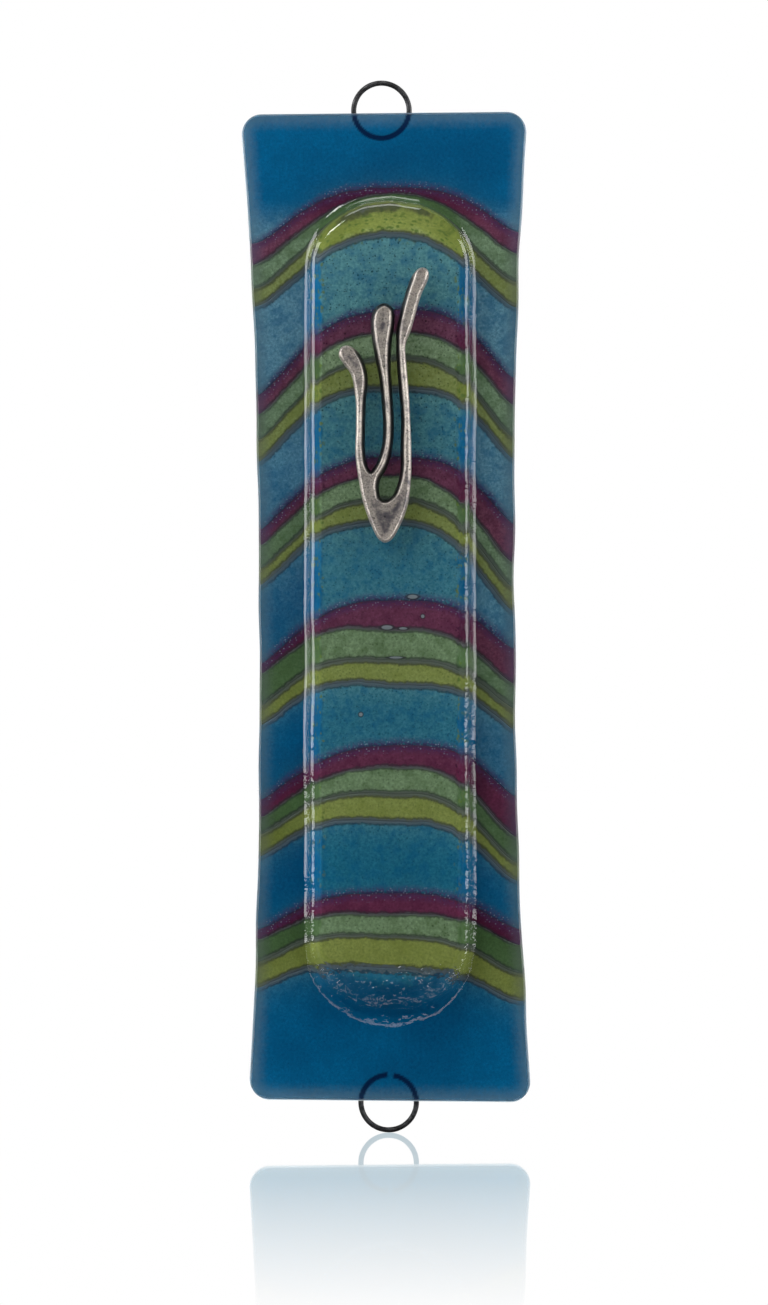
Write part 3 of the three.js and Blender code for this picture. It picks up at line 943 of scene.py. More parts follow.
@dataclass(frozen=True)
class StripeGroup:
    """Three stripes that hang in one wave. Triples are at the left side, the crest and the right side.

    Attributes:
        crest_x: Where the wave is highest.
        crest_z: The height of its upper edge there.
        drop: How far it falls to the left and to the right.
        heights: Height of the maroon, green and lime stripe.
        seams: Half-width of the grey seam below the maroon and the green.
    """

    crest_x: float
    crest_z: float
    drop: tuple[float, float]
    heights: tuple[tuple[float, float, float], ...]
    seams: tuple[tuple[float, float, float], ...]
    side_x: float = 22.5

    def progress(self, x: Array) -> Array:
        """Return how far each position is from the crest towards its side, as a share."""
        reach = np.where(x < self.crest_x, self.crest_x + self.side_x, self.side_x - self.crest_x)
        return np.abs(x - self.crest_x) / reach

    def along(self, triple: tuple[float, float, float], x: Array) -> Array:
        """Return a triple's value at each position, smoothly from the crest's value to the side's."""
        side = np.where(x < self.crest_x, triple[0], triple[2])
        return triple[1] + (side - triple[1]) * smooth(self.progress(x))

    def line(self, count: int, x: Array) -> Array:
        """Return the height of the line under the first `count` stripes, or of the upper edge for 0."""
        t = self.progress(x)
        fall = t**2.8 * (1.25 - 0.25 * np.minimum(t, 1.1) ** 6)
        below = sum((self.along(h, x) for h in self.heights[:count]), np.zeros_like(x))
        return self.crest_z - np.where(x < self.crest_x, self.drop[0], self.drop[1]) * fall - below


STRIPES = (
    StripeGroup(
        crest_x=1.4,
        crest_z=75.5,
        drop=(9.4, 7.8),
        heights=((3.8, 1.5, 3.9), (4.3, 3.0, 5.0), (3.4, 4.2, 4.7)),
        seams=((0.9, 0.5, 0.6), (0.7, 0.5, 0.9)),
    ),
    StripeGroup(
        crest_x=2.8,
        crest_z=53.1,
        drop=(14.4, 11.8),
        heights=((3.6, 4.0, 5.0), (4.6, 4.6, 5.7), (3.9, 5.4, 3.8)),
        seams=((0.7, 0.6, 0.8), (0.3, 1.0, 0.9)),
    ),
    StripeGroup(
        crest_x=2.4,
        crest_z=26.8,
        drop=(12.6, 11.8),
        heights=((2.9, 3.4, 7.0), (4.2, 4.2, 4.5), (3.0, 4.0, 4.1)),
        seams=((0.5, 0.4, 1.0), (0.5, 1.0, 1.1)),
    ),
    StripeGroup(
        crest_x=2.3,
        crest_z=1.2,
        drop=(11.4, 8.6),
        heights=((1.8, 5.2, 6.2), (5.8, 5.7, 4.5), (3.6, 4.4, 3.7)),
        seams=((0.5, 1.0, 1.1), (1.0, 1.0, 1.4)),
    ),
    StripeGroup(
        crest_x=4.1,
        crest_z=-24.8,
        drop=(9.9, 9.0),
        heights=((3.2, 3.8, 7.1), (3.1, 5.0, 4.6), (4.0, 5.0, 3.4)),
        seams=((0.5, 0.9, 1.2), (0.8, 1.1, 0.9)),
    ),
    StripeGroup(
        crest_x=0.9,
        crest_z=-51.3,
        drop=(6.7, 6.2),
        heights=((1.9, 3.8, 2.9), (3.9, 4.0, 5.1), (4.7, 6.1, 5.0)),
        seams=((0.6, 0.9, 0.4), (1.1, 0.7, 1.0)),
    ),
)


@dataclass(frozen=True)
class Ring:
    """A wire ring caught between the sheets.

    Attributes:
        node: Its CAD node.
        x: Centre across.
        z: Centre up.
        open_at: Direction of its ends, in degrees.
        gap: Distance between its ends.
        misfit: How far its ends step past each other.
        blur: How far its shade in the enamel closes the gap, in degrees.
        radius: Radius of its centre line.
        wire: Radius of the wire.
    """

    node: str
    x: float
    z: float
    open_at: float
    gap: float
    misfit: float
    blur: float
    radius: float = 5.0
    wire: float = 0.5

    def seen_through(self, x: Array, z: Array) -> Array:
        """Return how much of the wire shows through the film at each point.

        It is a soft band about the wire's centre line, cut where the ends stand apart.

        Args:
            x: Positions across.
            z: Positions up.

        Returns:
            A share from 0 to 1.
        """
        away = np.abs(np.hypot(x - self.x, z - self.z) - self.radius)
        angle = np.degrees(np.arctan2(z - self.z, x - self.x))
        turn = np.abs((angle - self.open_at + 180.0) % 360.0 - 180.0)
        open_half = math.degrees(0.5 * self.gap / self.radius)
        return smooth((self.wire + 0.1 - away) / 0.24) * smooth((turn - open_half + self.blur) / 4.0)


RINGS = (
    Ring("top_wire_ring", -1.0, 89.5, -92.0, 0.5, 0.25, 9.0),
    Ring("bottom_wire_ring", 0.3, -89.3, 86.0, 1.0, 0.1, 2.0),
)


@dataclass
class GlassSheets:
    """The two clear sheets. Each is a closed shell that ends in the middle of the enamel film.

    Attributes:
        form: The form that they follow.
        front_insets: Distances inside the outline of the rim's loops.
        join: Gap between the two sheets, halved.
        satin_width: Width of the satin edge.
    """

    form: SlumpedForm
    front_insets: Array = field(
        default_factory=lambda: 1.5 * (1.0 - np.sin(np.linspace(0.0, math.pi / 2.0, 14)))
    )
    join: float = 0.02
    satin_width: float = 0.6

    def shell(self, name: str, near: Array, far: Array, x: Array, z: Array) -> bpy.types.Object:
        """Close two depth fields over the same loops into one shell.

        Args:
            name: The piece's name.
            near: Depth of the side towards the wall, shape (loops, stations).
            far: Depth of the side towards the viewer.
            x: Positions across.
            z: Positions up.

        Returns:
            The shell, with a fan of triangles closing the middle of each side.
        """
        rows, columns = x.shape
        front = self.form.place(x, far, z).reshape(-1, 3)
        back = self.form.place(x, near, z).reshape(-1, 3)
        middle_x, middle_z = np.array(self.form.ridge_x), np.array(self.form.ridge_z)
        centres = [self.form.place(middle_x, np.array(side[0].mean()), middle_z) for side in (far, near)]
        points = np.vstack([front, back, centres[0][None], centres[1][None]])
        count = rows * columns
        faces = MeshMaker.grid_faces(rows, columns, 0, True, True).tolist()
        faces += MeshMaker.grid_faces(rows, columns, count, True, False).tolist()
        edge = np.arange(columns)
        following = (edge + 1) % columns
        last = (rows - 1) * columns
        faces += np.stack([last + following, last + edge, count + last + edge, count + last + following], -1).tolist()
        faces += np.stack([np.full(columns, 2 * count), edge, following], -1).tolist()
        faces += np.stack([np.full(columns, 2 * count + 1), count + following, count + edge], -1).tolist()
        piece = MeshMaker.build(name, points, faces)
        inset = self.form.rim_distance(x, z)
        inset[-1] = 0.0
        reach = self.form.reach(x, z)
        for key, value in (("edge", 1.0 - smooth(inset / self.satin_width)), ("slope", self.pebbling(reach, x, z))):
            ends = [value[0].mean(), value[0].mean()]
            MeshMaker.set_values(piece, key, np.concatenate([value.ravel(), value.ravel(), ends]))
        return piece

    def pebbling(self, reach: Array, x: Array, z: Array) -> Array:
        """Return how pebbled the slope is: more on the right, most at the lower end, and not at the upper end."""
        sides = smooth(1.8 - np.abs(reach - 13.8) / 1.2) * (0.2 + 0.5 * smooth((x + 5.0) / 10.0))
        lower_end = 2.2 * smooth(1.8 - np.abs(reach - 13.2) / 1.5) * smooth((-61.0 - z) / 5.0)
        return np.maximum(sides * smooth((62.0 - z) / 6.0), lower_end)

    def build(self) -> list[bpy.types.Object]:
        """Make and dress both sheets.

        Returns:
            The front and the back sheet.
        """
        form = self.form
        x, z = ContourGrid(form).loops(self.front_insets)
        inset = form.rim_distance(x, z)
        inset[-1] = 0.0
        wander = self.form.wander(x, z)
        reach = form.reach(x, z) + wander
        middle = form.back_glass + 0.5 * form.film
        share = middle / form.thickness
        inner = middle + form.ridge(reach, share)
        front = form.back_glass + form.film + form.front_glass * form.rim_round(inset, form.front_round)
        front = front + form.front_ridge(reach) + 0.02 * ripple(x, z, 9.0, 5)
        back = form.back_glass * (1.0 - form.rim_round(inset, form.back_round)) + form.ridge(reach, 0.0)
        front_sheet = self.shell("front_glass", inner + self.join, front, x, z)
        back_sheet = self.shell("back_glass", back, inner - self.join, x, z)
        front_sheet.data.materials.append(ClearGlass("front_clear_glass").make())
        back_sheet.data.materials.append(ClearGlass("back_clear_glass", tint="#e9f1ef", wave_strength=0.2).make())
        for piece, node in ((front_sheet, "front_glass_sheet"), (back_sheet, "back_glass_sheet")):
            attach(piece, "root")
            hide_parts(node)
        return [front_sheet, back_sheet]


def level_line(value: float) -> Line:
    """Return a line, or a half-width, that is the same at every position."""
    return lambda x: np.full_like(x, value)


@dataclass
class EnamelFilm:
    """The thin layer of colour between the sheets, as separate fields of powder.

    Attributes:
        form: The form that it follows.
        half_thickness: Half the film's thickness.
        inset: How far inside the outline the film ends.
        fine_step: Distance between columns on the ridge's slopes.
        coarse_step: The same on the crest.
        fixed_reach: Column offset up to which the columns are upright.
        last_column: Column offset of the outline.
        soft_seam: Half-width of the line between blue and maroon.
        foot_seam: Half-width of the line under a lime stripe.
        seam_parts: Share of the other two seams' half-widths that is drawn.
    """

    form: SlumpedForm
    half_thickness: float = 0.12
    inset: float = 0.12
    fine_step: float = 0.2
    coarse_step: float = 0.3
    fixed_reach: float = 16.6
    last_column: float = 24.0
    soft_seam: float = 0.1
    foot_seam: float = 0.55
    seam_parts: tuple[float, float] = (0.35, 0.5)

    def columns(self) -> Array:
        """Return column offsets from the ridge's middle line, closest together on its slopes."""
        offsets = np.concatenate(
            [
                np.arange(0.0, 11.0, self.coarse_step),
                np.arange(11.0, self.fixed_reach, self.fine_step),
                np.linspace(17.0, self.last_column, 15),
            ]
        )
        return np.concatenate([-offsets[:0:-1], offsets])

    def across(self, offsets: Array, z: Array) -> Array:
        """Return positions across for column offsets: fixed near the ridge, stretched out to the outline.

        Args:
            offsets: Column offsets, up to the last column on each side.
            z: Heights, in the same shape.

        Returns:
            Positions across.
        """
        form = self.form
        side = np.sign(offsets)
        edge = form.centre_x(z) + side * form.rounded_half_width(z, self.inset)
        start = form.ridge_x + side * self.fixed_reach
        share = np.clip((np.abs(offsets) - self.fixed_reach) / (self.last_column - self.fixed_reach), 0.0, 1.0)
        outer = start + (edge - start) * share
        return np.where(np.abs(offsets) <= self.fixed_reach, form.ridge_x + offsets, outer)

    def wobble(self, x: Array, seed: int) -> Array:
        """Return the hand-drawn unevenness of a line: a slow and a quick ripple along it."""
        level = np.zeros_like(x)
        return 0.1 * ripple(x, level, 16.0, seed) + 0.09 * ripple(x, level, 4.0, seed + 50)

    def depth(self, x: Array, z: Array) -> Array:
        """Return the depth of the film's middle, with the same swell as the sheets."""
        form = self.form
        middle = form.back_glass + 0.5 * form.film
        reach = form.reach(x, z) + form.wander(x, z)
        return middle + form.ridge(reach, middle / form.thickness)

    def field_piece(
        self,
        name: str,
        powder: Powder,
        upper: Line,
        lower: Line,
        seams: tuple[Line, Line],
        material: bpy.types.Material,
    ) -> bpy.types.Object:
        """Make one field of powder between two lines.

        Args:
            name: The CAD node that it stands for.
            powder: Its colour.
            upper: Function from positions across to the height of its upper line.
            lower: The same for its lower line.
            seams: Functions for the half-width of the seam at its upper and lower line.
            material: The finish of its colour.

        Returns:
            The field as a closed slab.
        """
        form = self.form
        offsets = self.columns()[None, :]
        tallest = float(np.max(upper(offsets[0]) - lower(offsets[0])))
        share = np.linspace(0.0, 1.0, max(int(tallest / 0.3), 10))[:, None]
        z = np.broadcast_to(0.5 * (upper(offsets) + lower(offsets)), (len(share), offsets.shape[1]))
        for _ in range(4):
            x = self.across(np.broadcast_to(offsets, z.shape), z)
            low, high = lower(x), upper(x)
            z = np.clip(low + (high - low) * share, self.inset - form.half_height, form.half_height - self.inset)
        depth = self.depth(x, z)
        front = form.place(x, depth + self.half_thickness, z)
        back = form.place(x, depth - self.half_thickness, z)
        rows, columns = z.shape
        count = rows * columns
        faces = MeshMaker.grid_faces(rows, columns, 0, False, False).tolist()
        faces += MeshMaker.grid_faces(rows, columns, count, False, True).tolist()
        numbers = np.arange(count).reshape(rows, columns)
        rim = np.concatenate([numbers[0, :-1], numbers[:-1, -1], numbers[-1, :0:-1], numbers[:0:-1, 0]])
        following = np.roll(rim, -1)
        faces += np.stack([following, rim, rim + count, following + count], -1).tolist()
        piece = MeshMaker.build(name + "_film", np.vstack([front.reshape(-1, 3), back.reshape(-1, 3)]), faces)
        self.mark(piece, powder, x, z, (upper, lower), seams)
        piece.data.materials.append(material)
        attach(piece, "root")
        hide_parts(name)
        return piece

    def mark(
        self,
        piece: bpy.types.Object,
        powder: Powder,
        x: Array,
        z: Array,
        lines: tuple[Line, Line],
        seams: tuple[Line, Line],
    ) -> None:
        """Store on each vertex what its finish depends on.

        Blue is hazier just under and just over a stripe. A seam value is the distance to the field's line, less
        the seam's half-width.

        Args:
            piece: The field.
            powder: Its colour.
            x: Positions across.
            z: Positions up.
            lines: Functions for its upper and lower line.
            seams: Functions for the half-width of the seam at each line.
        """
        form = self.form
        reach = form.reach(x, z)
        crest = smooth((12.8 - reach + 0.45 * ripple(x, z, 3.0, 11)) / 0.8)
        from_top = lines[0](x) - z
        from_bottom = z - lines[1](x)
        below_top_field = smooth((74.0 - z) / 9.0)
        haze = crest * self.crest_haze(powder, z)
        if powder is Powder.BLUE:
            haze = haze + 0.3 * np.exp(-np.maximum(from_top - 0.9, 0.0) / 2.0) * below_top_field
            haze = haze + 0.22 * np.exp(-np.maximum(from_bottom, 0.0) / 1.6)
        slope = np.hypot(1.0, np.gradient(lines[0](x), axis=1) / np.maximum(np.abs(np.gradient(x, axis=1)), 1e-6))
        values = {
            "haze": np.clip(haze, 0.0, 1.0),
            "veil": self.flange_veil(reach, x, z) * below_top_field,
            "crest": crest,
            "upper_seam": from_top / slope - seams[0](x),
            "lower_seam": from_bottom / slope - seams[1](x),
            "rim": form.rim_distance(x, z),
            "wire": np.maximum(RINGS[0].seen_through(x, z), RINGS[1].seen_through(x, z)),
            "shoulder": smooth(1.6 - np.abs(reach - 12.6) / 0.9) * smooth((z + 70.0) / 40.0),
        }
        for key, value in values.items():
            MeshMaker.set_values(piece, key, np.concatenate([value.ravel(), value.ravel()]))

    def crest_haze(self, powder: Powder, z: Array) -> Array:
        """Return how hazy the crest is: it grows with height, and green stays hazy all the way down."""
        least = 0.45 if powder is Powder.GREEN else 0.02
        height = np.clip((z + 68.0) / 130.0, 0.0, 1.0)
        return np.maximum(0.02 + 0.86 * height**1.2, least)

    def flange_veil(self, reach: Array, x: Array, z: Array) -> Array:
        """Return how milky the flange outside the ridge's foot is: more higher up, and lower down on the right."""
        climb = smooth((z + 42.0 + 18.0 * np.sign(x)) / 80.0)
        return 0.8 * climb * smooth((reach - 14.4) / 1.5)

    def build(self) -> list[bpy.types.Object]:
        """Make every field, from the top edge to the bottom edge.

        Returns:
            The fields.
        """
        materials = {powder: finish.make() for powder, finish in FINISHES.items()}
        beyond = self.form.half_height + 3.0
        none, soft, foot = level_line(-9.0), level_line(self.soft_seam), level_line(self.foot_seam)
        pieces = []
        upper, upper_seam = level_line(beyond), none
        for number, group in enumerate(STRIPES, start=1):
            lines = [partial(self.stripe_line, group, number, count) for count in range(4)]
            inner = [partial(self.seam, group, triple, part) for triple, part in zip(group.seams, self.seam_parts)]
            edges = [soft, *inner, foot]
            name = f"blue_enamel_{number}"
            seams = (upper_seam, soft)
            pieces.append(self.field_piece(name, Powder.BLUE, upper, lines[0], seams, materials[Powder.BLUE]))
            for index, powder in enumerate((Powder.MAROON, Powder.GREEN, Powder.LIME)):
                name = f"{powder.value}_stripe_{number}"
                seams = (edges[index], edges[index + 1])
                material = materials[powder]
                pieces.append(self.field_piece(name, powder, lines[index], lines[index + 1], seams, material))
            upper, upper_seam = lines[3], foot
        name = f"blue_enamel_{len(STRIPES) + 1}"
        lower = level_line(-beyond)
        pieces.append(self.field_piece(name, Powder.BLUE, upper, lower, (upper_seam, none), materials[Powder.BLUE]))
        return pieces

    def stripe_line(self, group: StripeGroup, number: int, count: int, x: Array) -> Array:
        """Return the height of the line under a group's first `count` stripes, with its unevenness."""
        return group.line(count, x) + self.wobble(x, 10 * number + count)

    def seam(self, group: StripeGroup, triple: tuple[float, float, float], part: float, x: Array) -> Array:
        """Return the half-width of a seam inside a group, as seen on one of its two sides."""
        return part * group.along(triple, x)


@dataclass
class WireRings:
    """The two open rings for the nails, caught in the front face of the back sheet.

    Attributes:
        form: The form that they are caught in.
        sides: Points round the wire.
        steps: Points along it.
        skin: How much thinner than the CAD wire it is drawn, so that its lumps stay inside.
    """

    form: SlumpedForm
    sides: int = 24
    steps: int = 260
    skin: float = 0.025

    def tube(self, ring: Ring) -> bpy.types.Object:
        """Sweep the wire round its circle.

        The centre line is a circle whose ends stand apart and step sideways by the misfit, and the wire's
        radius swells by a few hundredths where the oxide is thick and closes to a rounded cut at each end.

        Args:
            ring: The ring.

        Returns:
            The wire as a closed tube.
        """
        share = np.linspace(0.0, 1.0, self.steps)[:, None]
        half = 0.5 * ring.gap / ring.radius
        angle = math.radians(ring.open_at) + half + share * (2.0 * math.pi - 2.0 * half)
        bend = ring.radius + ring.misfit * (share**12 - (1.0 - share) ** 12) * 0.5
        lump = 0.012 * ripple(angle * ring.radius, share * 3.0, 2.5, 21)
        ends = np.minimum(share, 1.0 - share) * 2.0 * math.pi * ring.radius
        cut = 1.0 - (1.0 - np.clip(ends / 0.12, 0.0, 1.0)) ** 2
        wire = (ring.wire - self.skin + lump) * np.sqrt(np.clip(cut, 0.35, 1.0))
        around = np.linspace(0.0, 2.0 * math.pi, self.sides, endpoint=False)[None, :]
        out = bend + wire * np.cos(around)
        x = ring.x + out * np.cos(angle)
        z = ring.z + out * np.sin(angle)
        depth = self.form.back_glass - ring.wire + wire * np.sin(around)
        points = np.stack([x, -depth, z - self.form.origin_height], -1).reshape(-1, 3) * MM
        faces = MeshMaker.grid_faces(self.steps, self.sides, 0, True, True).tolist()
        faces.append(list(range(self.sides)))
        faces.append(list(range(self.steps * self.sides - 1, (self.steps - 1) * self.sides - 1, -1)))
        return MeshMaker.build(ring.node + "_wire", points, faces)

    def build(self) -> list[bpy.types.Object]:
        """Make and dress both rings."""
        material = OxidisedWire().make()
        pieces = []
        for ring in RINGS:
            piece = self.tube(ring)
            piece.data.materials.append(material)
            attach(piece, "root")
            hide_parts(ring.node)
            pieces.append(piece)
        return pieces


@dataclass
class PewterOrnament:
    """The cast ornament: three arms that rise from one pointed foot, as an outline with a rounded edge.

    Attributes:
        form: The form that it stands on.
        tip_x: Place of its foot's tip across.
        tip_z: Its place up.
        thickness: Its thickness.
        glue: Thickness of the glue under it.
        samples: Points round its outline.
        height_scale: Factor on its height.
        fill_step: Distance between the points on its face.
        profile: Height, inset on the outer edge, inset in the hollows, and blackness of each loop of its edge, which is
            patina and painted shade.
        outer_arm: Outline of the tallest arm's outer side, from the tip of the foot.
        inner_arms: Outline from that arm's end through both hollows to the shortest arm's end.
        outer_foot: Outline of the shortest arm's outer side, back to the tip.
    """

    form: SlumpedForm
    tip_x: float = -0.3
    tip_z: float = 11.5
    thickness: float = 2.2
    glue: float = 0.3
    samples: int = 900
    height_scale: float = 0.99
    fill_step: float = 0.22
    profile: tuple[tuple[float, float, float, float], ...] = (
        (0.0, -0.06, -0.5, 1.0), (0.6, -0.06, -0.44, 1.0), (1.2, -0.05, -0.32, 1.0), (1.6, -0.01, -0.12, 1.0),
        (1.82, 0.03, 0.02, 0.95), (1.97, 0.08, 0.12, 0.6), (2.08, 0.15, 0.2, 0.2), (2.17, 0.25, 0.29, 0.04),
        (2.2, 0.34, 0.36, 0.0),
    )
    outer_arm: tuple[tuple[float, float], ...] = (
        (0, 0), (1.1, 0.6), (2.5, 2.9), (3.9, 6.5), (4.5, 10.7), (4.6, 17), (4.4, 22.5), (4.1, 27.8),
        (3.8, 31.4), (3.6, 35.7), (4.6, 38.6), (6.3, 44.6), (7.7, 48), (7.5, 49.2), (6.6, 49.6), (5.6, 49.1),
    )
    inner_arms: tuple[tuple[float, float], ...] = (
        (4.9, 47.4), (3.9, 44.4), (2.5, 38.5), (2.4, 35.7), (2.6, 31.4), (2.9, 27.8), (3.3, 22.5), (3.2, 17),
        (3.2, 13.6), (2.8, 11), (1.7, 8.3), (0, 7.2), (-1.1, 7.7), (-1.6, 9.3), (-1.4, 11.4),
        (0, 14), (0.8, 17.2), (1.05, 20.7), (0.95, 24.3), (0.6, 29.6), (0.5, 33.2), (0.7, 36.5), (1.2, 40),
        (1, 42), (-0.2, 42.8), (-1.5, 42), (-2.1, 40.3), (-1.9, 36.7), (-1.3, 33.2), (-0.6, 29.6), (-0.1, 24.3),
        (0.1, 20.7), (-0.2, 17.2), (-1.4, 13.8), (-2.6, 12.4), (-3.6, 13.6), (-4.1, 17),
        (-4.1, 20.7), (-3.9, 26), (-3.6, 29.3), (-4, 31.6), (-5, 33.9),
    )
    outer_foot: tuple[tuple[float, float], ...] = (
        (-6.4, 35.5), (-7.8, 35.3), (-8.3, 33.9), (-7.3, 32.2), (-6.1, 30.4), (-5.3, 26), (-5.2, 20.7),
        (-5.3, 16), (-4.8, 11.8), (-3.9, 7.2), (-2.5, 3.2), (-1.1, 0.6),
    )

    def outline(self) -> tuple[Array, Array]:
        """Return the closed outline and how far each point lies on the inner, unpolished side.

        A centripetal Catmull-Rom curve passes through the points, and is then sampled at equal steps.

        Returns:
            Points of shape (samples, 2), and shares from 0 on the outer edge to 1 in the hollows.
        """
        knots = np.array(self.outer_arm + self.inner_arms + self.outer_foot)
        parts = ((self.outer_arm, 0.0), (self.inner_arms, 1.0), (self.outer_foot, 0.0))
        inner = np.concatenate([np.full(len(part), share) for part, share in parts])
        stack = np.column_stack([knots, inner])
        p0, p1, p2, p3 = (np.roll(stack, shift, axis=0)[:, None, :] for shift in (1, 0, -1, -2))
        pairs = ((p0, p1), (p1, p2), (p2, p3))
        gap = [np.sqrt(np.linalg.norm((b - a)[..., :2], axis=-1, keepdims=True)) for a, b in pairs]
        t1 = gap[0]
        t2 = t1 + gap[1]
        t3 = t2 + gap[2]
        t = t1 + (t2 - t1) * np.linspace(0.0, 1.0, 24, endpoint=False)[None, :, None]
        a1 = (t1 - t) / t1 * p0 + t / t1 * p1
        a2 = (t2 - t) / (t2 - t1) * p1 + (t - t1) / (t2 - t1) * p2
        a3 = (t3 - t) / (t3 - t2) * p2 + (t - t2) / (t3 - t2) * p3
        b1 = (t2 - t) / t2 * a1 + t / t2 * a2
        b2 = (t3 - t) / (t3 - t1) * a2 + (t - t1) / (t3 - t1) * a3
        curve = ((t2 - t) / (t2 - t1) * b1 + (t - t1) / (t2 - t1) * b2).reshape(-1, 3)
        closed = np.vstack([curve, curve[:1]])
        length = np.concatenate([[0.0], np.cumsum(np.linalg.norm(np.diff(closed[:, :2], axis=0), axis=1))])
        even = np.linspace(0.0, length[-1], self.samples, endpoint=False)
        resampled = np.column_stack([np.interp(even, length, closed[:, k]) for k in range(3)])
        return resampled[:, :2], np.clip(resampled[:, 2], 0.0, 1.0)

    def build(self) -> bpy.types.Object:
        """Carry the edge profile round the outline, close it, and dress it.

        Each loop of the profile is the outline moved along its inward normal. The hollows' walls lean, as a casting's
        do, and stay black with patina and painted shade. The outer edge is upright and polished, and its wall is a
        little darkened by painted shade.

        Returns:
            The ornament.
        """
        line, inner = self.outline()
        ahead = np.roll(line, -3, axis=0) - np.roll(line, 3, axis=0)
        normal = np.column_stack([-ahead[:, 1], ahead[:, 0]])
        normal /= np.linalg.norm(normal, axis=1, keepdims=True)
        top = self.form.thickness + self.form.rise + self.glue
        loops, patina_and_shade = [], []
        for depth, outer_inset, inner_inset, dark in self.profile:
            spot = line + normal * (outer_inset + (inner_inset - outer_inset) * inner)[:, None]
            loops.append(self.at(spot, np.full(len(spot), top + depth)))
            # The walls' blackness is patina in the hollows and painted shade where they stand on the glass.
            patina_and_shade.append(dark * (0.2 + 0.8 * inner))
        rows, count = len(loops), self.samples
        faces = MeshMaker.grid_faces(rows, count, 0, True, True).tolist()
        faces.append(list(range(count)))
        inside, triangles = self.fill(spot)
        away = np.min(np.linalg.norm(inside[:, None] - spot[None], axis=-1), axis=1)
        dish = 0.1 * smooth((away - 0.3) / 0.9)
        first = (rows - 1) * count
        loops.append(self.at(inside, top + self.thickness - dish))
        faces += [[number + first for number in triangle] for triangle in triangles]
        patina_and_shade.append(0.0 * away)
        worn = np.concatenate([np.zeros(rows * count), smooth((away - 0.6) / 1.0)])
        piece = MeshMaker.build("three_arm_pewter", np.vstack(loops), faces)
        MeshMaker.set_values(piece, "patina_and_shade", np.concatenate(patina_and_shade))
        MeshMaker.set_values(piece, "hollow", worn)
        piece.data.materials.append(AntiquePewter().make())
        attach(piece, "root")
        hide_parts("three_arm_ornament")
        return piece

    def at(self, spot: Array, depth: Array) -> Array:
        """Return row-frame points for outline points and depths."""
        return self.form.place(self.tip_x + spot[:, 0], depth, self.tip_z + spot[:, 1] * self.height_scale)

    def fill(self, loop: Array) -> tuple[Array, list[list[int]]]:
        """Fill the face inside a loop with a triangle mesh that has points in its middle.

        Args:
            loop: The loop's points, shape (count, 2).

        Returns:
            The inner points, and triangles numbered with the loop's points first.
        """
        across, up = np.meshgrid(np.arange(-9.0, 8.5, self.fill_step), np.arange(0.0, 50.5, self.fill_step))
        across[1::2] += 0.5 * self.fill_step
        grid = np.column_stack([across.ravel(), up.ravel()])
        low, high = loop, np.roll(loop, -1, axis=0)
        spans = (low[None, :, 1] > grid[:, None, 1]) != (high[None, :, 1] > grid[:, None, 1])
        run = np.where(high[:, 1] == low[:, 1], 1e-9, high[:, 1] - low[:, 1])
        crossing = low[:, 0] + (grid[:, None, 1] - low[:, 1]) / run * (high[:, 0] - low[:, 0])
        odd = np.sum(spans & (grid[:, None, 0] < crossing), axis=1) % 2 == 1
        clear = np.min(np.linalg.norm(grid[:, None] - loop[None], axis=-1), axis=1) > 0.6 * self.fill_step
        inside = grid[odd & clear]
        points = [Vector(p) for p in np.vstack([loop, inside]).tolist()]
        count = len(loop)
        ring = [list(range(count))]
        made = delaunay_2d_cdt(points, [], ring, 1, 1e-7)
        if len(made[0]) != len(points):
            raise ValueError("the ornament's face changed its points when it was filled")
        return inside, [list(face) for face in made[2]]


@dataclass(frozen=True)
class SoftLamp:
    """A soft rectangular lamp.

    Attributes:
        name: The lamp's name.
        at: Its place, in metres from the panel's centre.
        size: Its width and height in metres.
        power: Its power in watts.
        mirrored: Whether polished surfaces show it.
    """

    name: str
    at: tuple[float, float, float]
    size: tuple[float, float]
    power: float
    mirrored: bool = True


LAMPS = (
    SoftLamp("left_wall", (-1.15, -0.3, 0.0), (1.2, 1.6), 36.0),
    SoftLamp("right_wall", (1.15, -0.3, 0.0), (1.2, 1.6), 32.0),
    SoftLamp("top_strip", (-0.1, -0.35, 1.3), (0.9, 0.4), 6.0),
    SoftLamp("key_box", (-0.75, -1.4, 1.1), (0.35, 0.35), 6.0),
    SoftLamp("front_fill", (-0.1, -2.0, 0.3), (1.8, 1.8), 12.0, mirrored=False),
    SoftLamp("back_fill", (0.4, 2.0, 0.5), (1.8, 1.8), 26.0, mirrored=False),
)


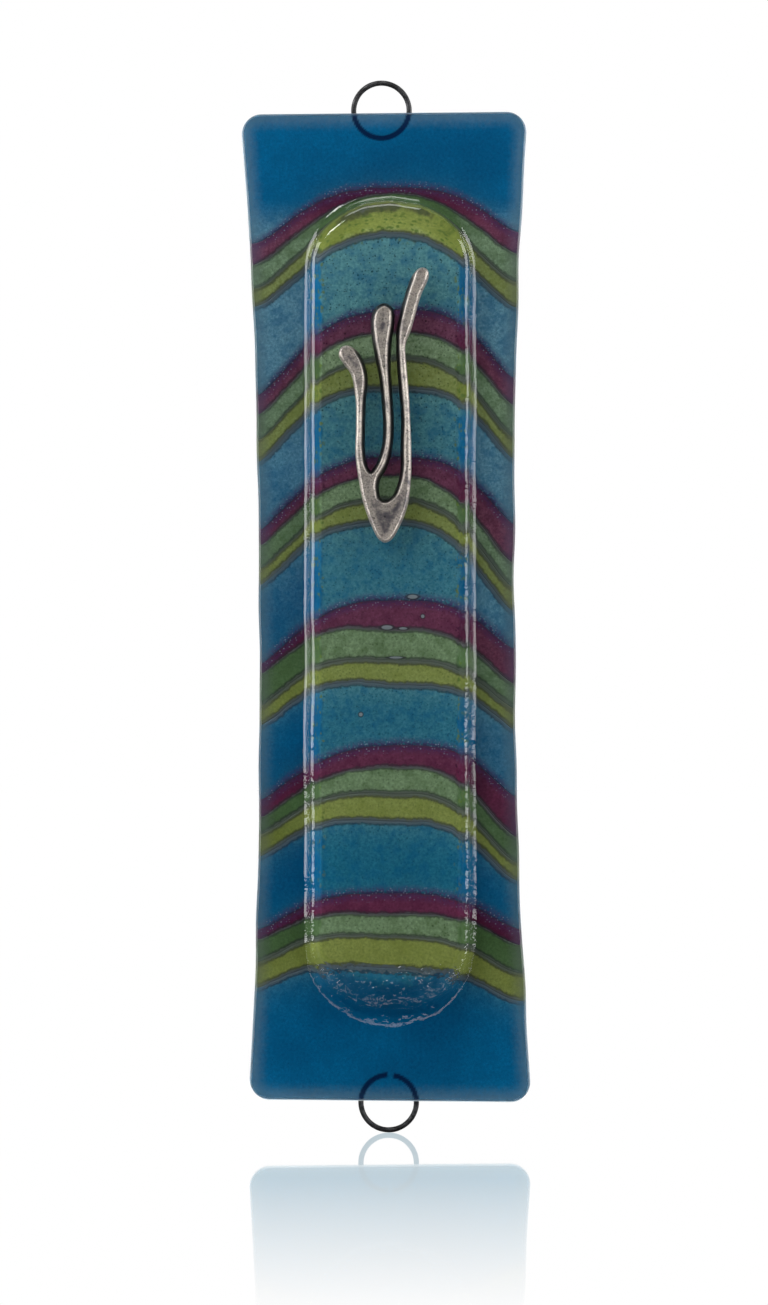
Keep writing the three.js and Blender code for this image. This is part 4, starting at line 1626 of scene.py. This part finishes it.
@dataclass
class Studio:
    """Floor, lamps, surroundings and camera. Lengths are in millimetres from the panel's centre.

    Attributes:
        form: The form that is lit and seen.
        floor_z: Height of the floor, in metres in the row frame.
        distance: Distance of the camera from the panel's face.
        frame_height: Height of what the camera takes in at that face.
        frame_x: Middle of the view across.
        frame_z: Middle of the view up.
    """

    form: SlumpedForm
    floor_z: float
    distance: float = 1600.0
    frame_height: float = 234.9
    frame_x: float = -0.54
    frame_z: float = -8.2

    def floor(self) -> bpy.types.Object:
        """Make the pale floor, polished in front of the case and matt further away."""
        size, low = 4.0, self.floor_z
        points = np.array([(-size, -size, low), (size, -size, low), (size, size, low), (-size, size, low)])
        piece = MeshMaker.build("floor", points, [[0, 1, 2, 3]], False)
        material, add = new_material("white_acrylic_floor")
        forward = add(Kind.AXES, {0: add(Kind.PLACE)})
        polish = add(Kind.RANGE, {0: forward, 1: -0.45, 2: -0.14})
        # The polish mirrors a little more red than blue, so that a blue thing's image in it looks clear.
        sheen = add(Kind.LAID_OVER, {0: polish, 6: srgb("#000000"), 7: srgb("#b8a89f")})
        rest = add(Kind.LESS, {0: 1.0, 6: srgb("#ffffff"), 7: sheen})
        plain = add(Kind.GLOW, {"Color": rest, "Strength": 1.0})
        mirror = add(Kind.MIRROR, {"Color": sheen, "Roughness": 0.02})
        polished = add(Kind.BOTH, {0: plain, 1: mirror})
        # As a light on the case the floor is a dim white. Polished things show only a bright strip near the case.
        path = add(Kind.PATH).node.outputs
        mirrored = add(Kind.TIMES, {0: path["Is Glossy Ray"], 1: path["Is Reflection Ray"]})
        begins = add(Kind.RAMP, {0: forward, 1: -0.05, 2: -0.042})
        ends = add(Kind.RAMP, {0: forward, 1: -0.026, 2: -0.034})
        strip = add(Kind.TIMES_PLUS, {0: add(Kind.TIMES, {0: begins, 1: ends}), 1: 2.4, 2: -0.4})
        strength = add(Kind.TIMES_PLUS, {0: mirrored, 1: strip, 2: 0.4})
        dim = add(Kind.GLOW, {"Color": srgb("#ffffff"), "Strength": strength})
        add(Kind.MATERIAL, {"Surface": add(Kind.EITHER, {0: path["Is Camera Ray"], 1: dim, 2: polished})})
        piece.data.materials.append(material)
        piece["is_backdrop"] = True
        return piece

    def surroundings(self) -> None:
        """Make the room: a white backdrop behind the case and soft grey everywhere else."""
        world = bpy.data.worlds.new("studio_room")
        bpy.context.scene.world = world
        world.use_nodes = True
        world.node_tree.nodes.clear()
        add = partial(add_node, world.node_tree)
        axes = add(Kind.AXES, {0: add(Kind.DIRECTION)}).node.outputs
        tall = add(Kind.RAMP, {0: add(Kind.SIZE, {0: axes["Z"]}), 1: 0.5, 2: 0.35})
        backdrop = add(Kind.TIMES, {0: add(Kind.RAMP, {0: axes["Y"], 1: 0.45, 2: 0.7}), 1: tall})
        level = add(Kind.TIMES_PLUS, {0: backdrop, 1: 0.98, 2: 0.02})
        strength = add(Kind.LARGER, {0: level, 1: add(Kind.PATH, output="Is Camera Ray")})
        add(Kind.WORLD, {"Surface": add(Kind.SKY, {"Color": srgb("#ffffff"), "Strength": strength})})

    def hang(self, lamp: SoftLamp) -> None:
        """Hang a soft rectangular lamp that faces the case.

        Args:
            lamp: The lamp.
        """
        light = bpy.data.lights.new(lamp.name, "AREA")
        light.shape = "RECTANGLE"
        light.size, light.size_y = lamp.size
        light.energy = lamp.power
        piece = bpy.data.objects.new(lamp.name, light)
        piece.visible_glossy = lamp.mirrored
        piece.visible_transmission = lamp.mirrored
        target = np.array([0.0, 0.0, -self.form.origin_height * MM])
        place = np.array(lamp.at) + target
        piece.location = place.tolist()
        piece.rotation_euler = Vector((target - place).tolist()).to_track_quat("-Z", "Y").to_euler()
        bpy.context.scene.collection.objects.link(piece)

    def camera(self) -> None:
        """Set a long lens square in front of the case, level with the middle of the frame."""
        camera = bpy.data.cameras.new("front_camera")
        camera.type = "PERSP"
        camera.sensor_fit = "VERTICAL"
        camera.sensor_height = 36.0
        camera.lens = 36.0 * self.distance / self.frame_height
        camera.clip_start, camera.clip_end = 0.05, 50.0
        piece = bpy.data.objects.new("front_camera", camera)
        face = self.form.thickness
        piece.location = (
            self.frame_x * MM,
            -(self.distance + face) * MM,
            (self.frame_z - self.form.origin_height) * MM,
        )
        piece.rotation_euler = (math.pi / 2.0, 0.0, 0.0)
        bpy.context.scene.collection.objects.link(piece)
        bpy.context.scene.camera = piece

    def build(self) -> None:
        """Set up the whole studio."""
        self.floor()
        self.surroundings()
        for lamp in LAMPS:
            self.hang(lamp)
        self.camera()
        bpy.context.scene.view_settings.view_transform = "Standard"


def main() -> None:
    """Build every sub-assembly of the case round the CAD frame and report each piece."""
    logging.basicConfig(level=logging.INFO, format="%(message)s")
    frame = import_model()
    cad_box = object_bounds()
    form = SlumpedForm()
    for piece in GlassSheets(form).build():
        LOG.info("sheet %s", piece.name)
    for piece in EnamelFilm(form).build():
        LOG.info("field %s", piece.name)
    for piece in WireRings(form).build():
        LOG.info("ring %s", piece.name)
    LOG.info("ornament %s", PewterOrnament(form).build().name)
    pad = frame["nodes"]["ornament_adhesive"]
    pad.data.materials.clear()
    pad.data.materials.append(CuredGlue().make())
    Studio(form, float(cad_box[0][2])).build()


if __name__ == "__main__":
    main()
